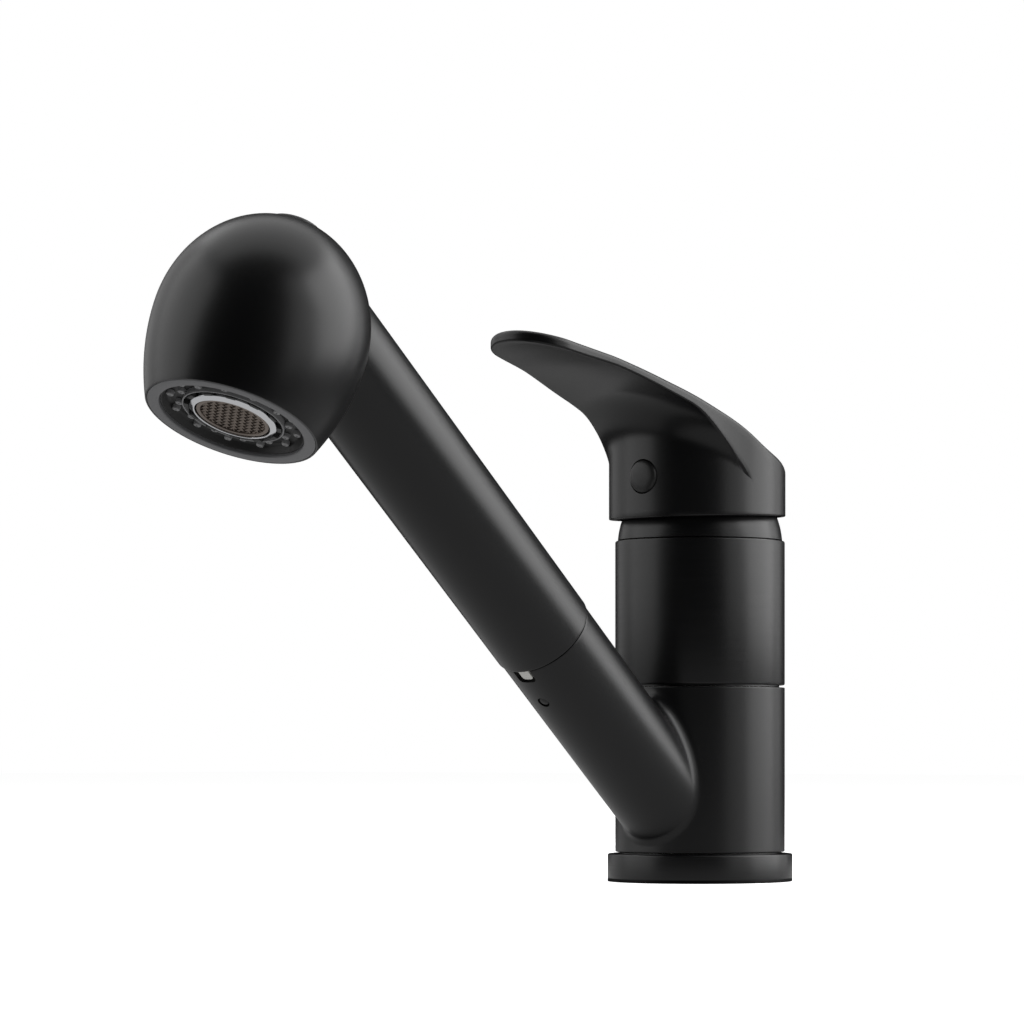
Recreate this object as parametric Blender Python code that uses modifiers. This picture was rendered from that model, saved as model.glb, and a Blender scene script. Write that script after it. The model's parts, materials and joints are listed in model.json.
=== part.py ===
"""Kitchen mixer with a pull-out spray, taken apart into the pieces it is assembled from.

The body axis is +Z and z = 0 is the top of the worktop. The spout and the lever point to -Y.
Sizes are in millimetres and degrees, and MM turns them into Blender's metres.
"""

import math

import bmesh
import bpy
from mathutils import Matrix, Vector

MM = 0.001

# Clearances
GAP = 0.3  # between pieces that rest on or in each other
PIN_GAP = 0.15  # round a pin in its hole
SWIVEL_GAP = 0.5  # under and over the turning spout body, where the joints show
BREAK = 0.5  # chamfer on the turned edges that show

# Facets round a turned piece
ROUND = 32  # pieces that show
INNER_ROUND = 24  # pieces inside
SMALL_ROUND = 16
TINY_ROUND = 10

# Body: the cartridge sets its width
CARTRIDGE_RADIUS = 20.0
SEAT_GAP = 0.4
BODY_WALL = 4.6
BODY_RADIUS = CARTRIDGE_RADIUS + SEAT_GAP + BODY_WALL
FLANGE_OVERHANG = 2.25
FLANGE_HEIGHT = 8.2
SPOUT_BODY_HEIGHT = 48.3
VALVE_BODY_HEIGHT = 42.4
SPOUT_BODY_BOTTOM = FLANGE_HEIGHT + SWIVEL_GAP
SPOUT_BODY_TOP = SPOUT_BODY_BOTTOM + SPOUT_BODY_HEIGHT
VALVE_BOTTOM = SPOUT_BODY_TOP + SWIVEL_GAP + 0.2
VALVE_TOP = VALVE_BOTTOM + VALVE_BODY_HEIGHT

# Mounting post: a column that the spout turns on, and the shank through the worktop
SHANK_RADIUS = 16.5
SHANK_LENGTH = 55.0
POST_WALL = 3.5
POST_BORE = 14.5
POST_RADIUS = POST_BORE + POST_WALL
POST_BOTTOM = FLANGE_HEIGHT + GAP
POST_THREAD = 4.5
WINDOW_LOW = 10.0
WINDOW_HIGH = 40.0
HOSE_CLEARANCE_ANGLE = 27.0
WORKTOP = 22.0
RUBBER_WASHER = 2.5
STEEL_WASHER = 2.0
BACKNUT_HEIGHT = 10.0
BACKNUT_ACROSS_FLATS = 48.0

# Swivel
SWIVEL_LIMIT = 70.0
GLIDE_WIDTH = 3.4
GLIDE_HEIGHT = 2.3
O_RING_SECTION = 0.85
O_RING_HEIGHT = 44.5
STOP_PIN_RADIUS = 1.5
STOP_PIN_HEIGHT = 50.0
STOP_PIN_REACH = 2.2

# Cartridge, from the floor of its seat upwards
SEAT_FLOOR = VALVE_BOTTOM + 6.8
SEAL_HEIGHT = 1.3
BASE_HEIGHT = 4.0
FIXED_DISC_HEIGHT = 4.5
MOVING_DISC_HEIGHT = 3.5
CARRIER_HEIGHT = 6.3
TURRET_DISC_HEIGHT = 2.7
HOUSING_LID = 2.5
HOUSING_WALL = 2.2
NUT_HEIGHT = 5.9
DISC_RADIUS = 15.5
MOVING_DISC_RADIUS = 13.0
TURRET_RADIUS = 11.0
PORTS = ((-6.5, 4.0, 3.4), (6.5, 4.0, 3.4), (0.0, -7.0, 3.8))  # x, y, radius: hot, cold, mixed
SEAL_LOW = SEAT_FLOOR + GAP
BASE_LOW = SEAL_LOW + SEAL_HEIGHT + GAP
FIXED_LOW = BASE_LOW + BASE_HEIGHT + GAP
MOVING_LOW = FIXED_LOW + FIXED_DISC_HEIGHT + GAP
CARRIER_LOW = MOVING_LOW + MOVING_DISC_HEIGHT + GAP
TURRET_LOW = CARRIER_LOW + CARRIER_HEIGHT + GAP
LID_LOW = TURRET_LOW + TURRET_DISC_HEIGHT + GAP
NUT_LOW = LID_LOW + HOUSING_LID + GAP

# Lever, its stem and the dome that it rides on
PIVOT_BELOW_TOP = 1.6
PIVOT = VALVE_TOP - PIVOT_BELOW_TOP
LEVER_LIFT = 25.0
DOME_RADIUS = BODY_RADIUS - 0.7
DOME_RISE = 9.0
DOME_OPENING = 10.2
DOME_SKIRT = 2.5
CAVITY_GAP = 1.2
CAVITY_RISE = 18.2
STEM_WIDTH = 7.6
STEM_ARM = 15.0
BALL_RADIUS = 3.4
STEM_TOP = PIVOT + 24.0
STEM_PIN_RADIUS = 1.6
BOSS_RADIUS = 6.5
BOSS_RISE = 14.1
HUB_OVERHANG = 1.0
HUB_RADIUS = BODY_RADIUS + HUB_OVERHANG
HUB_FORWARD = 1.35
RIM_RISE = 8.4
RIM_TILT = 1.9
BLADE_ROOT = 13.5
BLADE_ROOT_HALF_WIDTH = 23.1
BLADE_BULGE = 0.9
BLADE_TIP_RADIUS = 14.0
BLADE_TIP_CENTRE = 73.3
BLADE_TIP_TURN = 12.0
# How far the lever's top and the underside of its blade lie in front of the body axis and above
# the pivot, along its middle.
LEVER_TOP = (
    (-24.65, 12.5), (-22.6, 17.2), (-18.0, 21.2), (-10.0, 25.2), (2.0, 30.2), (11.0, 35.5),
    (23.7, 40.5), (40.0, 45.1), (57.4, 49.6), (76.6, 53.9), (87.3, 56.5),
)
BLADE_UNDERSIDE = (
    (87.3, 54.2), (76.6, 51.3), (57.4, 47.1), (40.0, 42.2), (29.0, 38.1), (23.5, 34.8),
    (17.0, 30.5), (12.0, 24.9), (8.0, 22.0),
)
SET_SCREW_RADIUS = 2.5
SET_SCREW_LENGTH = 12.0
PLUG_RADIUS = 4.8
PLUG_DEPTH = 3.0
PLUG_RISE = 19.3

# Spout branch, a straight tube that rises to the front
SPOUT_RISE = 40.2
SPOUT_AXIS_HEIGHT = 9.7
SOCKET_RADIUS = 14.3
SOCKET_WALL = 2.1
SOCKET_BORE = SOCKET_RADIUS - SOCKET_WALL
SOCKET_END = 95.2
SOCKET_FLOOR = 31.0
BRANCH_START = 18.0
HOSE_PASSAGE_RADIUS = 10.0
NOTCH_WIDTH = 6.0
NOTCH_DEPTH = 4.3
SNAP_PLACE = 82.3
SNAP_RADIUS = 1.8
SLEEVE_WALL = 1.2
SLEEVE_LENGTH = 32.0

# Hose
HOSE_RADIUS = 6.0
HOSE_SPLIT = 20.0
FERRULE_LENGTH = 8.0
FERRULE_WALL = 1.0
# Where the bent stretch runs behind the spout's axis: front of the body axis, height
HOSE_ROUTE = (
    (14.85, 22.25), (9.0, 16.2), (3.75, 8.1), (0.9, -0.4), (0.0, -8.9), (0.0, -30.0), (0.0, -56.0),
)

# Spray head's place: its axis crosses the spout's this far above the spray face
HEAD_REACH = 196.4
HEAD_TILT = 24.4
HEAD_CROSSING = 42.445
CROSSING_REACH = HEAD_REACH - HEAD_CROSSING * math.sin(math.radians(HEAD_TILT))
CROSSING_PLACE = CROSSING_REACH / math.cos(math.radians(SPOUT_RISE))  # along the spout's axis
CROSSING_HEIGHT = SPOUT_AXIS_HEIGHT + CROSSING_REACH * math.tan(math.radians(SPOUT_RISE))
OUTLET_HEIGHT = CROSSING_HEIGHT - HEAD_CROSSING * math.cos(math.radians(HEAD_TILT))

# Spray handle, along the spout's axis
SPRAY_TUBE_STEP = 0.4  # proud of the socket
SPRAY_TUBE_RADIUS = SOCKET_RADIUS + SPRAY_TUBE_STEP
SHELL_WALL = 2.2
SPRAY_TUBE_BORE = SPRAY_TUBE_RADIUS - SHELL_WALL
SPRAY_START = SOCKET_END + GAP
SPRAY_TUBE_END = CROSSING_PLACE - 3.2
SPRAY_BORE_END = CROSSING_PLACE - 15.2
SPIGOT_LENGTH = 25.0
SPIGOT_WALL = 1.4
SPIGOT_FLANGE = 3.0
NUT_START = SPRAY_START + SPIGOT_FLANGE + 2 * GAP
HOSE_NUT_LENGTH = 14.0
HOSE_NUT_RADIUS = 10.0
WATERWAY_RADIUS = 9.5
WATERWAY_NECK = 7.5
WATERWAY_START = NUT_START + HOSE_NUT_LENGTH + GAP
WATERWAY_END = CROSSING_PLACE - 12.2
INLET_BORE = 6.3
INLET_DEPTH = 14.0
WATER_BORE = 5.0
FILTER_HEIGHT = 1.2
CHECK_VALVE_LENGTH = 10.0
CHECK_VALVE_SEAT = 2.6

# Spray head, on its own axis, measured up from the spray face
BELL_RIM_RADIUS = 22.8
BELL_RADIUS = 28.2
BELL_WIDEST = 25.5
BELL_HEIGHT = 57.5
BELL_CUT = 2.1
FACE_RING_LIP = 1.8
FACE_RING_WIDTH = 3.2
FACE_RING_SKIRT = 1.6
FACE_RING_HEIGHT = 6.0
FACEPLATE_LOW = 3.0
FACEPLATE_HEIGHT = 1.4
MEMBRANE_HEIGHT = 1.3
NOZZLE_COUNT = 24
NOZZLE_CIRCLES = (16.9, 14.7)
NOZZLE_RADIUS = 1.0
NOZZLE_TIP = 2.0
AERATOR_RADIUS = 11.2
AERATOR_RING_WIDTH = 1.7
AERATOR_RING_LOW = 0.9
AERATOR_RING_HEIGHT = 3.4
MESH_LOW = 2.3
MESH_HEIGHT = 0.6
AERATOR_CORE_TOP = 8.6
KEY_RING_WIDTH = 1.5
KEY_RING_LOW = 1.4
KEY_COUNT = 12
MANIFOLD_RADIUS = 17.0
MANIFOLD_LOW = 9.0
MANIFOLD_TOP = 44.0
CHAMBER_RADIUS = 12.0
CHAMBER_TOP = 37.0

# Diverter, in the top of the head
BUTTON_RADIUS = 7.7
BUTTON_PROUD = 0.9
BUTTON_FLANGE = 1.5
BUTTON_LOW = 51.6
BUTTON_COLLAR = 1.4
SPRING_RADIUS = 4.2
SPRING_WALL = 0.9
SPOOL_RADIUS = 2.4
SPOOL_END = 24.0
SPOOL_HEAD_RADIUS = 6.0
SPOOL_HEAD = 3.0
SPOOL_SEAL_HEIGHT = 40.5
SPOOL_SEAL_SECTION = 0.6
SPOOL_SEAL_BORE = SPOOL_RADIUS + 2 * SPOOL_SEAL_SECTION + 2 * GAP

# Colours: (red, green, blue), roughness, metallic
COLOURS = {
    "matte_black": ((0.018, 0.018, 0.019), 0.42, 0.0),
    "coated_plastic": ((0.018, 0.018, 0.019), 0.42, 0.0),
    "black_plastic": ((0.02, 0.02, 0.02), 0.5, 0.0),
    "grey_plastic": ((0.13, 0.13, 0.13), 0.5, 0.0),
    "grey_silicone": ((0.12, 0.12, 0.12), 0.6, 0.0),
    "light_plastic": ((0.6, 0.6, 0.58), 0.5, 0.0),
    "black_rubber": ((0.012, 0.012, 0.012), 0.8, 0.0),
    "brass": ((0.65, 0.46, 0.2), 0.35, 1.0),
    "steel": ((0.55, 0.55, 0.56), 0.35, 1.0),
    "chrome": ((0.75, 0.75, 0.77), 0.1, 1.0),
    "ceramic": ((0.82, 0.82, 0.8), 0.3, 0.0),
    "braid": ((0.25, 0.25, 0.26), 0.6, 0.0),
}


# --- Scene, materials and frames


def clear_scene():
    for old in list(bpy.data.objects):
        bpy.data.objects.remove(old, do_unlink=True)


def new_collection(name):
    collection = bpy.data.collections.new(name)
    bpy.context.scene.collection.children.link(collection)
    return collection


def new_material(name):
    colour, roughness, metallic = COLOURS[name]
    material = bpy.data.materials.new(name)
    material.use_nodes = True
    shader = material.node_tree.nodes["Principled BSDF"]
    shader.inputs["Base Color"].default_value = (*colour, 1.0)
    shader.inputs["Roughness"].default_value = roughness
    shader.inputs["Metallic"].default_value = metallic
    return material


def new_axis(name, place, tilt=0.0):
    """An empty on a joint's axis: its +Z is the body axis turned by tilt degrees about +X."""
    empty = bpy.data.objects.new(name, None)
    empty.location = Vector(place) * MM
    empty.rotation_euler = (math.radians(tilt), 0.0, 0.0)
    PARTS.objects.link(empty)
    return empty


clear_scene()
PARTS = new_collection("kitchen_mixer")
CUTTERS = new_collection("cutters")
MATERIALS = {name: new_material(name) for name in COLOURS}

BODY_AXIS = new_axis("body_axis", (0, 0, 0))
SWIVEL_AXIS = new_axis("swivel_axis", (0, 0, 0))
TURN_AXIS = new_axis("lever_turn_axis", (0, 0, 0))
TILT_AXIS = new_axis("lever_tilt_axis", (0, 0, PIVOT))
SPOUT_AXIS = new_axis("spout_axis", (0, 0, SPOUT_AXIS_HEIGHT), 90.0 - SPOUT_RISE)
HEAD_AXIS = new_axis("head_axis", (0, -HEAD_REACH, OUTLET_HEIGHT), -HEAD_TILT)


# --- Shapes


def place(shape, axis, material):
    """Puts a shape on its axis, as a piece with a material or, with none, as a cutter."""
    shape.parent = axis
    if material:
        PARTS.objects.link(shape)
        shape.data.materials.append(MATERIALS[material])
    else:
        CUTTERS.objects.link(shape)
        shape.hide_render = True
        shape.display_type = "WIRE"
    return shape


def turned(name, profile, axis=BODY_AXIS, material=None, facets=ROUND):
    """Turns (radius, height) points about +Z. A profile that starts or ends at radius 0 stays open."""
    mesh = bpy.data.meshes.new(name)
    points = [(radius * MM, 0.0, height * MM) for radius, height in profile]
    edges = [(i, i + 1) for i in range(len(points) - 1)]
    if profile[0][0] > 0:
        edges.append((len(points) - 1, 0))
    mesh.from_pydata(points, edges, [])
    shape = bpy.data.objects.new(name, mesh)
    screw = shape.modifiers.new("turn", "SCREW")
    screw.steps = screw.render_steps = facets
    screw.use_merge_vertices = True
    screw.merge_threshold = 1e-6
    screw.use_smooth_shade = False
    return place(shape, axis, material)


def ring(name, inner, outer, low, high, axis=BODY_AXIS, material=None, facets=ROUND):
    profile = ((outer, high), (outer, low), (inner, low), (inner, high))
    return turned(name, profile, axis, material, facets)


def rod(name, radius, start, end, axis=BODY_AXIS, material=None, facets=SMALL_ROUND, radius_end=None):
    """A cylinder, or a cone, between two points."""
    start, end = Vector(start) * MM, Vector(end) * MM
    run = end - start
    turn = run.to_track_quat("Z", "Y").to_matrix().to_4x4()
    mesh = bpy.data.meshes.new(name)
    shape = bmesh.new()
    bmesh.ops.create_cone(
        shape,
        cap_ends=True,
        segments=facets,
        radius1=radius * MM,
        radius2=(radius if radius_end is None else radius_end) * MM,
        depth=run.length,
        matrix=Matrix.Translation((start + end) / 2) @ turn,
    )
    shape.to_mesh(mesh)
    shape.free()
    return place(bpy.data.objects.new(name, mesh), axis, material)


def disc(name, radius, low, high, axis=BODY_AXIS, material=None, facets=ROUND):
    """A cylinder about the axis, from height low to high."""
    return rod(name, radius, (0, 0, low), (0, 0, high), axis, material, facets)


def block(name, low, high, axis=BODY_AXIS, material=None):
    low, high = Vector(low) * MM, Vector(high) * MM
    mesh = bpy.data.meshes.new(name)
    shape = bmesh.new()
    size = Matrix.Diagonal((*(high - low), 1.0))
    bmesh.ops.create_cube(shape, size=1.0, matrix=Matrix.Translation((low + high) / 2) @ size)
    shape.to_mesh(mesh)
    shape.free()
    return place(bpy.data.objects.new(name, mesh), axis, material)


def ball(name, radius, centre, axis=BODY_AXIS, material=None):
    mesh = bpy.data.meshes.new(name)
    shape = bmesh.new()
    middle = Matrix.Translation(Vector(centre) * MM)
    bmesh.ops.create_uvsphere(
        shape, u_segments=12, v_segments=8, radius=radius * MM, matrix=middle
    )
    shape.to_mesh(mesh)
    shape.free()
    return place(bpy.data.objects.new(name, mesh), axis, material)


def mesh_from_curve(curve):
    """The curve object's evaluated shape as a mesh, its loose caps welded on."""
    helper = bpy.data.objects.new(curve.name, curve)
    bpy.context.scene.collection.objects.link(helper)
    graph = bpy.context.evaluated_depsgraph_get()
    mesh = bpy.data.meshes.new_from_object(helper.evaluated_get(graph))
    bpy.data.objects.remove(helper)
    shape = bmesh.new()
    shape.from_mesh(mesh)
    bmesh.ops.remove_doubles(shape, verts=shape.verts, dist=1e-6)
    bmesh.ops.recalc_face_normals(shape, faces=shape.faces)
    shape.to_mesh(mesh)
    shape.free()
    return mesh


def plate(name, outline, low, high, axis=BODY_AXIS, material=None, upright=False):
    """A flat outline in x and y, thick from low to high in z.

    An upright one has its outline in front (-Y) and height, and is thick from low to high in x.
    """
    curve = bpy.data.curves.new(name, "CURVE")
    curve.dimensions = "2D"
    curve.fill_mode = "BOTH"
    curve.extrude = (high - low) / 2 * MM
    spline = curve.splines.new("POLY")
    spline.points.add(len(outline) - 1)
    for point, (x, y) in zip(spline.points, outline):
        point.co = (x * MM, y * MM, 0.0, 1.0)
    spline.use_cyclic_u = True
    mesh = mesh_from_curve(curve)
    mesh.transform(Matrix.Translation((0, 0, (low + high) / 2 * MM)))
    if upright:
        mesh.transform(Matrix(((0, 0, -1, 0), (-1, 0, 0, 0), (0, 1, 0, 0), (0, 0, 0, 1))))
    return place(bpy.data.objects.new(name, mesh), axis, material)


def arc(centre, radius, start, end, steps):
    """Points on a circle between two angles in degrees, from +x towards +y."""
    angles = [math.radians(start + (end - start) * i / steps) for i in range(steps + 1)]
    return [(centre[0] + radius * math.cos(a), centre[1] + radius * math.sin(a)) for a in angles]


def sector(name, inner, outer, middle, half_angle, low, high, axis=BODY_AXIS):
    """A cutter: part of a ring, half_angle to each side of the direction middle."""
    outline = arc((0, 0), outer, middle - half_angle, middle + half_angle, 16)
    outline += arc((0, 0), inner, middle + half_angle, middle - half_angle, 16)
    return plate(name, outline, low, high, axis)


def smooth_route(points, steps):
    """A Catmull-Rom curve through (front, height) points."""
    ends = [points[0], *points, points[-1]]
    route = []
    for before, start, end, after in zip(ends, ends[1:], ends[2:], ends[3:]):
        for i in range(steps):
            t = i / steps
            weights = (
                -0.5 * t + t * t - 0.5 * t**3,
                1 - 2.5 * t * t + 1.5 * t**3,
                0.5 * t + 2 * t * t - 1.5 * t**3,
                -0.5 * t * t + 0.5 * t**3,
            )
            corners = (before, start, end, after)
            route.append(tuple(sum(w * p[k] for w, p in zip(weights, corners)) for k in (0, 1)))
    return [*route, points[-1]]


def combine(piece, other, operation):
    boolean = piece.modifiers.new(other.name, "BOOLEAN")
    boolean.operation = operation
    boolean.solver = "EXACT"
    boolean.object = other
    return piece


def cut(piece, *cutters):
    for cutter in cutters:
        combine(piece, cutter, "DIFFERENCE")
    return piece


def join(piece, *others):
    for other in others:
        combine(piece, other, "UNION")
    return piece


def front(radius, height):
    """A point in front of the body axis."""
    return (0, -radius, height)


# --- Body and its fixings


def deck_flange():
    radius = BODY_RADIUS + FLANGE_OVERHANG
    gasket_inner, gasket_outer, gasket_height = gasket_size()
    profile = (
        (radius - BREAK, FLANGE_HEIGHT),
        (radius, FLANGE_HEIGHT - BREAK),
        (radius, 0),
        (gasket_outer + GAP, 0),
        (gasket_outer + GAP, gasket_height + GAP),
        (gasket_inner - GAP, gasket_height + GAP),
        (gasket_inner - GAP, 0),
        (SHANK_RADIUS + GAP, 0),
        (SHANK_RADIUS + GAP, FLANGE_HEIGHT),
    )
    turned("deck_flange", profile, material="matte_black")


def gasket_size():
    """Inner and outer radius and height of the gasket in the flange's groove."""
    return SHANK_RADIUS + 5.5, BODY_RADIUS, 2.0


def base_gasket():
    inner, outer, height = gasket_size()
    ring("base_gasket", inner, outer, 0, height, material="black_rubber", facets=INNER_ROUND)


def mounting_post():
    groove = POST_RADIUS + GAP - 2 * O_RING_SECTION - 2 * PIN_GAP
    half_groove = O_RING_SECTION + PIN_GAP
    top = VALVE_BOTTOM + POST_THREAD
    profile = (
        (POST_RADIUS, top),
        (POST_RADIUS, O_RING_HEIGHT + half_groove),
        (groove, O_RING_HEIGHT + half_groove),
        (groove, O_RING_HEIGHT - half_groove),
        (POST_RADIUS, O_RING_HEIGHT - half_groove),
        (POST_RADIUS, POST_BOTTOM),
        (SHANK_RADIUS, POST_BOTTOM),
        (SHANK_RADIUS, -SHANK_LENGTH),
        (POST_BORE, -SHANK_LENGTH),
        (POST_BORE, top),
    )
    post = turned("mounting_post", profile, material="brass", facets=INNER_ROUND)
    half_window = SWIVEL_LIMIT + HOSE_CLEARANCE_ANGLE
    window = sector(
        "post_window", POST_BORE - 2, POST_RADIUS + 2, -90, half_window, WINDOW_LOW, WINDOW_HIGH
    )
    pin_hole = rod(
        "stop_pin_hole",
        STOP_PIN_RADIUS + PIN_GAP,
        (0, POST_BORE - 2, STOP_PIN_HEIGHT),
        (0, POST_RADIUS + 2, STOP_PIN_HEIGHT),
        facets=TINY_ROUND,
    )
    cut(post, window, pin_hole)


def swivel_stop_pin():
    start = (0, POST_BORE + GAP, STOP_PIN_HEIGHT)
    end = (0, POST_RADIUS + STOP_PIN_REACH, STOP_PIN_HEIGHT)
    rod("swivel_stop_pin", STOP_PIN_RADIUS, start, end, material="steel", facets=TINY_ROUND)


def o_ring(name, radius, section, height, axis=BODY_AXIS, facets=INNER_ROUND):
    circle = arc((radius, height), section, 90, -270, 6)[:-1]
    turned(name, circle, axis, "black_rubber", facets)


def swivel_seals():
    radius = POST_RADIUS + GAP - O_RING_SECTION - PIN_GAP
    o_ring("swivel_o_ring", radius, O_RING_SECTION, O_RING_HEIGHT)
    inner = POST_RADIUS + GAP
    outer = inner + GLIDE_WIDTH
    for name, low in (
        ("lower_glide_ring", POST_BOTTOM),
        ("upper_glide_ring", VALVE_BOTTOM - GAP - GLIDE_HEIGHT),
    ):
        high = low + GLIDE_HEIGHT
        ring(name, inner, outer, low, high, SWIVEL_AXIS, "light_plastic", INNER_ROUND)


def fixings_below():
    low = -WORKTOP - RUBBER_WASHER
    inner = SHANK_RADIUS + GAP
    ring("rubber_washer", inner, BODY_RADIUS, low, -WORKTOP, material="black_rubber", facets=INNER_ROUND)
    high = low - GAP
    low = high - STEEL_WASHER
    ring("steel_washer", inner, BODY_RADIUS, low, high, material="steel", facets=INNER_ROUND)
    high = low - GAP
    corner = BACKNUT_ACROSS_FLATS / 2 / math.cos(math.pi / 6)
    nut = rod("backnut", corner, (0, 0, high - BACKNUT_HEIGHT), (0, 0, high), material="brass", facets=6)
    cut(nut, disc("backnut_thread", inner, high - BACKNUT_HEIGHT - 1, high + 1, facets=INNER_ROUND))


def port_cutters(name, low, high, shrink=0.0):
    return [
        rod(f"{name}_port_{i}", radius - shrink, (x, y, low), (x, y, high), facets=16)
        for i, (x, y, radius) in enumerate(PORTS)
    ]


def valve_body():
    seat = CARTRIDGE_RADIUS + SEAT_GAP
    recess_top = VALVE_BOTTOM + POST_THREAD + GAP
    profile = (
        (0, SEAT_FLOOR),
        (seat, SEAT_FLOOR),
        (seat, VALVE_TOP),
        (BODY_RADIUS - BREAK, VALVE_TOP),
        (BODY_RADIUS, VALVE_TOP - BREAK),
        (BODY_RADIUS, VALVE_BOTTOM + BREAK),
        (BODY_RADIUS - BREAK, VALVE_BOTTOM),
        (POST_RADIUS + GAP, VALVE_BOTTOM),
        (POST_RADIUS + GAP, recess_top),
        (POST_BORE - GAP, recess_top),
        (POST_BORE - GAP, VALVE_BOTTOM),
        (0, VALVE_BOTTOM),
    )
    body = turned("valve_body", profile, material="matte_black")
    cut(body, *port_cutters("valve_body", VALVE_BOTTOM - 1, SEAT_FLOOR + 1))


# --- Cartridge


def cartridge_stack():
    """The pieces that stay still, from the seal up to the nut."""
    for name, radius, low, height, material in (
        ("cartridge_seal", DISC_RADIUS, SEAL_LOW, SEAL_HEIGHT, "black_rubber"),
        ("cartridge_base", CARTRIDGE_RADIUS, BASE_LOW, BASE_HEIGHT, "light_plastic"),
        ("fixed_disc", DISC_RADIUS, FIXED_LOW, FIXED_DISC_HEIGHT, "ceramic"),
    ):
        piece = disc(name, radius, low, low + height, material=material, facets=INNER_ROUND)
        cut(piece, *port_cutters(name, low - 1, low + height + 1))
    housing_top = LID_LOW + HOUSING_LID
    hole = TURRET_RADIUS + GAP
    housing = (
        (CARTRIDGE_RADIUS, housing_top),
        (CARTRIDGE_RADIUS, FIXED_LOW),
        (CARTRIDGE_RADIUS - HOUSING_WALL, FIXED_LOW),
        (CARTRIDGE_RADIUS - HOUSING_WALL, LID_LOW),
        (hole, LID_LOW),
        (hole, housing_top),
    )
    turned("cartridge_housing", housing, material="light_plastic", facets=INNER_ROUND)
    outer = CARTRIDGE_RADIUS + SEAT_GAP - GAP
    high = NUT_LOW + NUT_HEIGHT
    ring("cartridge_nut", TURRET_RADIUS + 2, outer, NUT_LOW, high, BODY_AXIS, "brass", INNER_ROUND)


def disc_travel():
    return STEM_ARM * math.radians(LEVER_LIFT)


def moving_disc():
    """Half of its travel behind the middle when the tap is shut, with its mixing chamber below."""
    piece = disc(
        "moving_disc",
        MOVING_DISC_RADIUS,
        MOVING_LOW,
        MOVING_LOW + MOVING_DISC_HEIGHT,
        TURN_AXIS,
        "ceramic",
        INNER_ROUND,
    )
    piece.location.y = disc_travel() / 2 * MM
    low = (0, disc_travel() / 2, MOVING_LOW - 1)
    high = (0, disc_travel() / 2, MOVING_LOW + MOVING_DISC_HEIGHT / 2)
    cut(piece, rod("mixing_chamber", MOVING_DISC_RADIUS * 0.6, low, high, TURN_AXIS))


def disc_carrier():
    low, high = CARRIER_LOW, CARRIER_LOW + CARRIER_HEIGHT
    radius = MOVING_DISC_RADIUS
    piece = disc("disc_carrier", radius, low, high, TURN_AXIS, "black_plastic", INNER_ROUND)
    piece.location.y = disc_travel() / 2 * MM
    half = BALL_RADIUS + GAP
    floor = PIVOT - STEM_ARM - BALL_RADIUS - GAP
    cut(piece, block("ball_pocket", (-half, -half, floor), (half, half, high + 1), TURN_AXIS))


def turret():
    top = PIVOT + 5
    low, shoulder = TURRET_LOW, TURRET_LOW + TURRET_DISC_HEIGHT
    wide = CARTRIDGE_RADIUS - HOUSING_WALL - 0.8
    profile = (
        (0, top), (TURRET_RADIUS, top), (TURRET_RADIUS, shoulder), (wide, shoulder), (wide, low), (0, low)
    )
    piece = turned("turret", profile, TURN_AXIS, "black_plastic", INNER_ROUND)
    half = STEM_WIDTH / 2 + 0.4
    neck_slot = block("neck_slot", (-half, -20, shoulder + GAP), (half, 20, top + 1), TURN_AXIS)
    ball_slot = block("ball_slot", (-half, -11, low - 1), (half, 5, top + 1), TURN_AXIS)
    pin_hole = stem_pin_rod("turret_pin_hole", STEM_PIN_RADIUS + PIN_GAP, TURRET_RADIUS + 2, TURN_AXIS)
    cut(piece, neck_slot, ball_slot, pin_hole)


def stem_pin_rod(name, radius, reach, axis, material=None):
    """A rod across the body at the lever's pivot."""
    height = 0 if axis is TILT_AXIS else PIVOT
    return rod(name, radius, (-reach, 0, height), (reach, 0, height), axis, material, 16)


def stem():
    """A square bar in the lever, with a ball at the bottom that drives the disc carrier."""
    half = STEM_WIDTH / 2
    bottom = -STEM_ARM + BALL_RADIUS
    piece = block("stem", (-half, -half, bottom + 1), (half, half, STEM_TOP - PIVOT), TILT_AXIS, "brass")
    neck = rod("stem_neck", BALL_RADIUS - 0.6, (0, 0, -STEM_ARM), (0, 0, bottom + 2), TILT_AXIS, facets=16)
    join(piece, neck, ball("stem_ball", BALL_RADIUS, (0, 0, -STEM_ARM), TILT_AXIS))
    cut(piece, stem_pin_rod("stem_pin_hole", STEM_PIN_RADIUS + PIN_GAP, STEM_WIDTH, TILT_AXIS))


# --- Dome collar and lever


def sphere_profile(radius, low, high, steps):
    """(radius, height) points on a sphere about the origin, from height high down to low."""
    start, end = math.asin(high / radius), math.asin(low / radius)
    angles = [start + (end - start) * i / steps for i in range(steps + 1)]
    return [(radius * math.cos(a), radius * math.sin(a)) for a in angles]


def dome_collar():
    """A spherical cap round the lever's pivot, screwed into the mouth of the valve body."""
    bottom = VALVE_TOP + GAP - PIVOT
    dome = sphere_profile(DOME_RADIUS, bottom, DOME_RISE, 4)
    skirt_outer = CARTRIDGE_RADIUS + SEAT_GAP - GAP
    skirt_inner = skirt_outer - 2.2
    under_lid = DOME_RISE - 2.2
    inside = [
        (skirt_outer, bottom),
        (skirt_outer, bottom - DOME_SKIRT),
        (skirt_inner, bottom - DOME_SKIRT),
        (skirt_inner, under_lid),
        (DOME_OPENING, under_lid),
        (DOME_OPENING, DOME_RISE),
    ]
    profile = [(radius, height + PIVOT) for radius, height in dome + inside]
    turned("dome_collar", profile, material="matte_black")


def hub_outline():
    return arc((0, -HUB_FORWARD), HUB_RADIUS, 0, 360, ROUND)[:-1]


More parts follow.
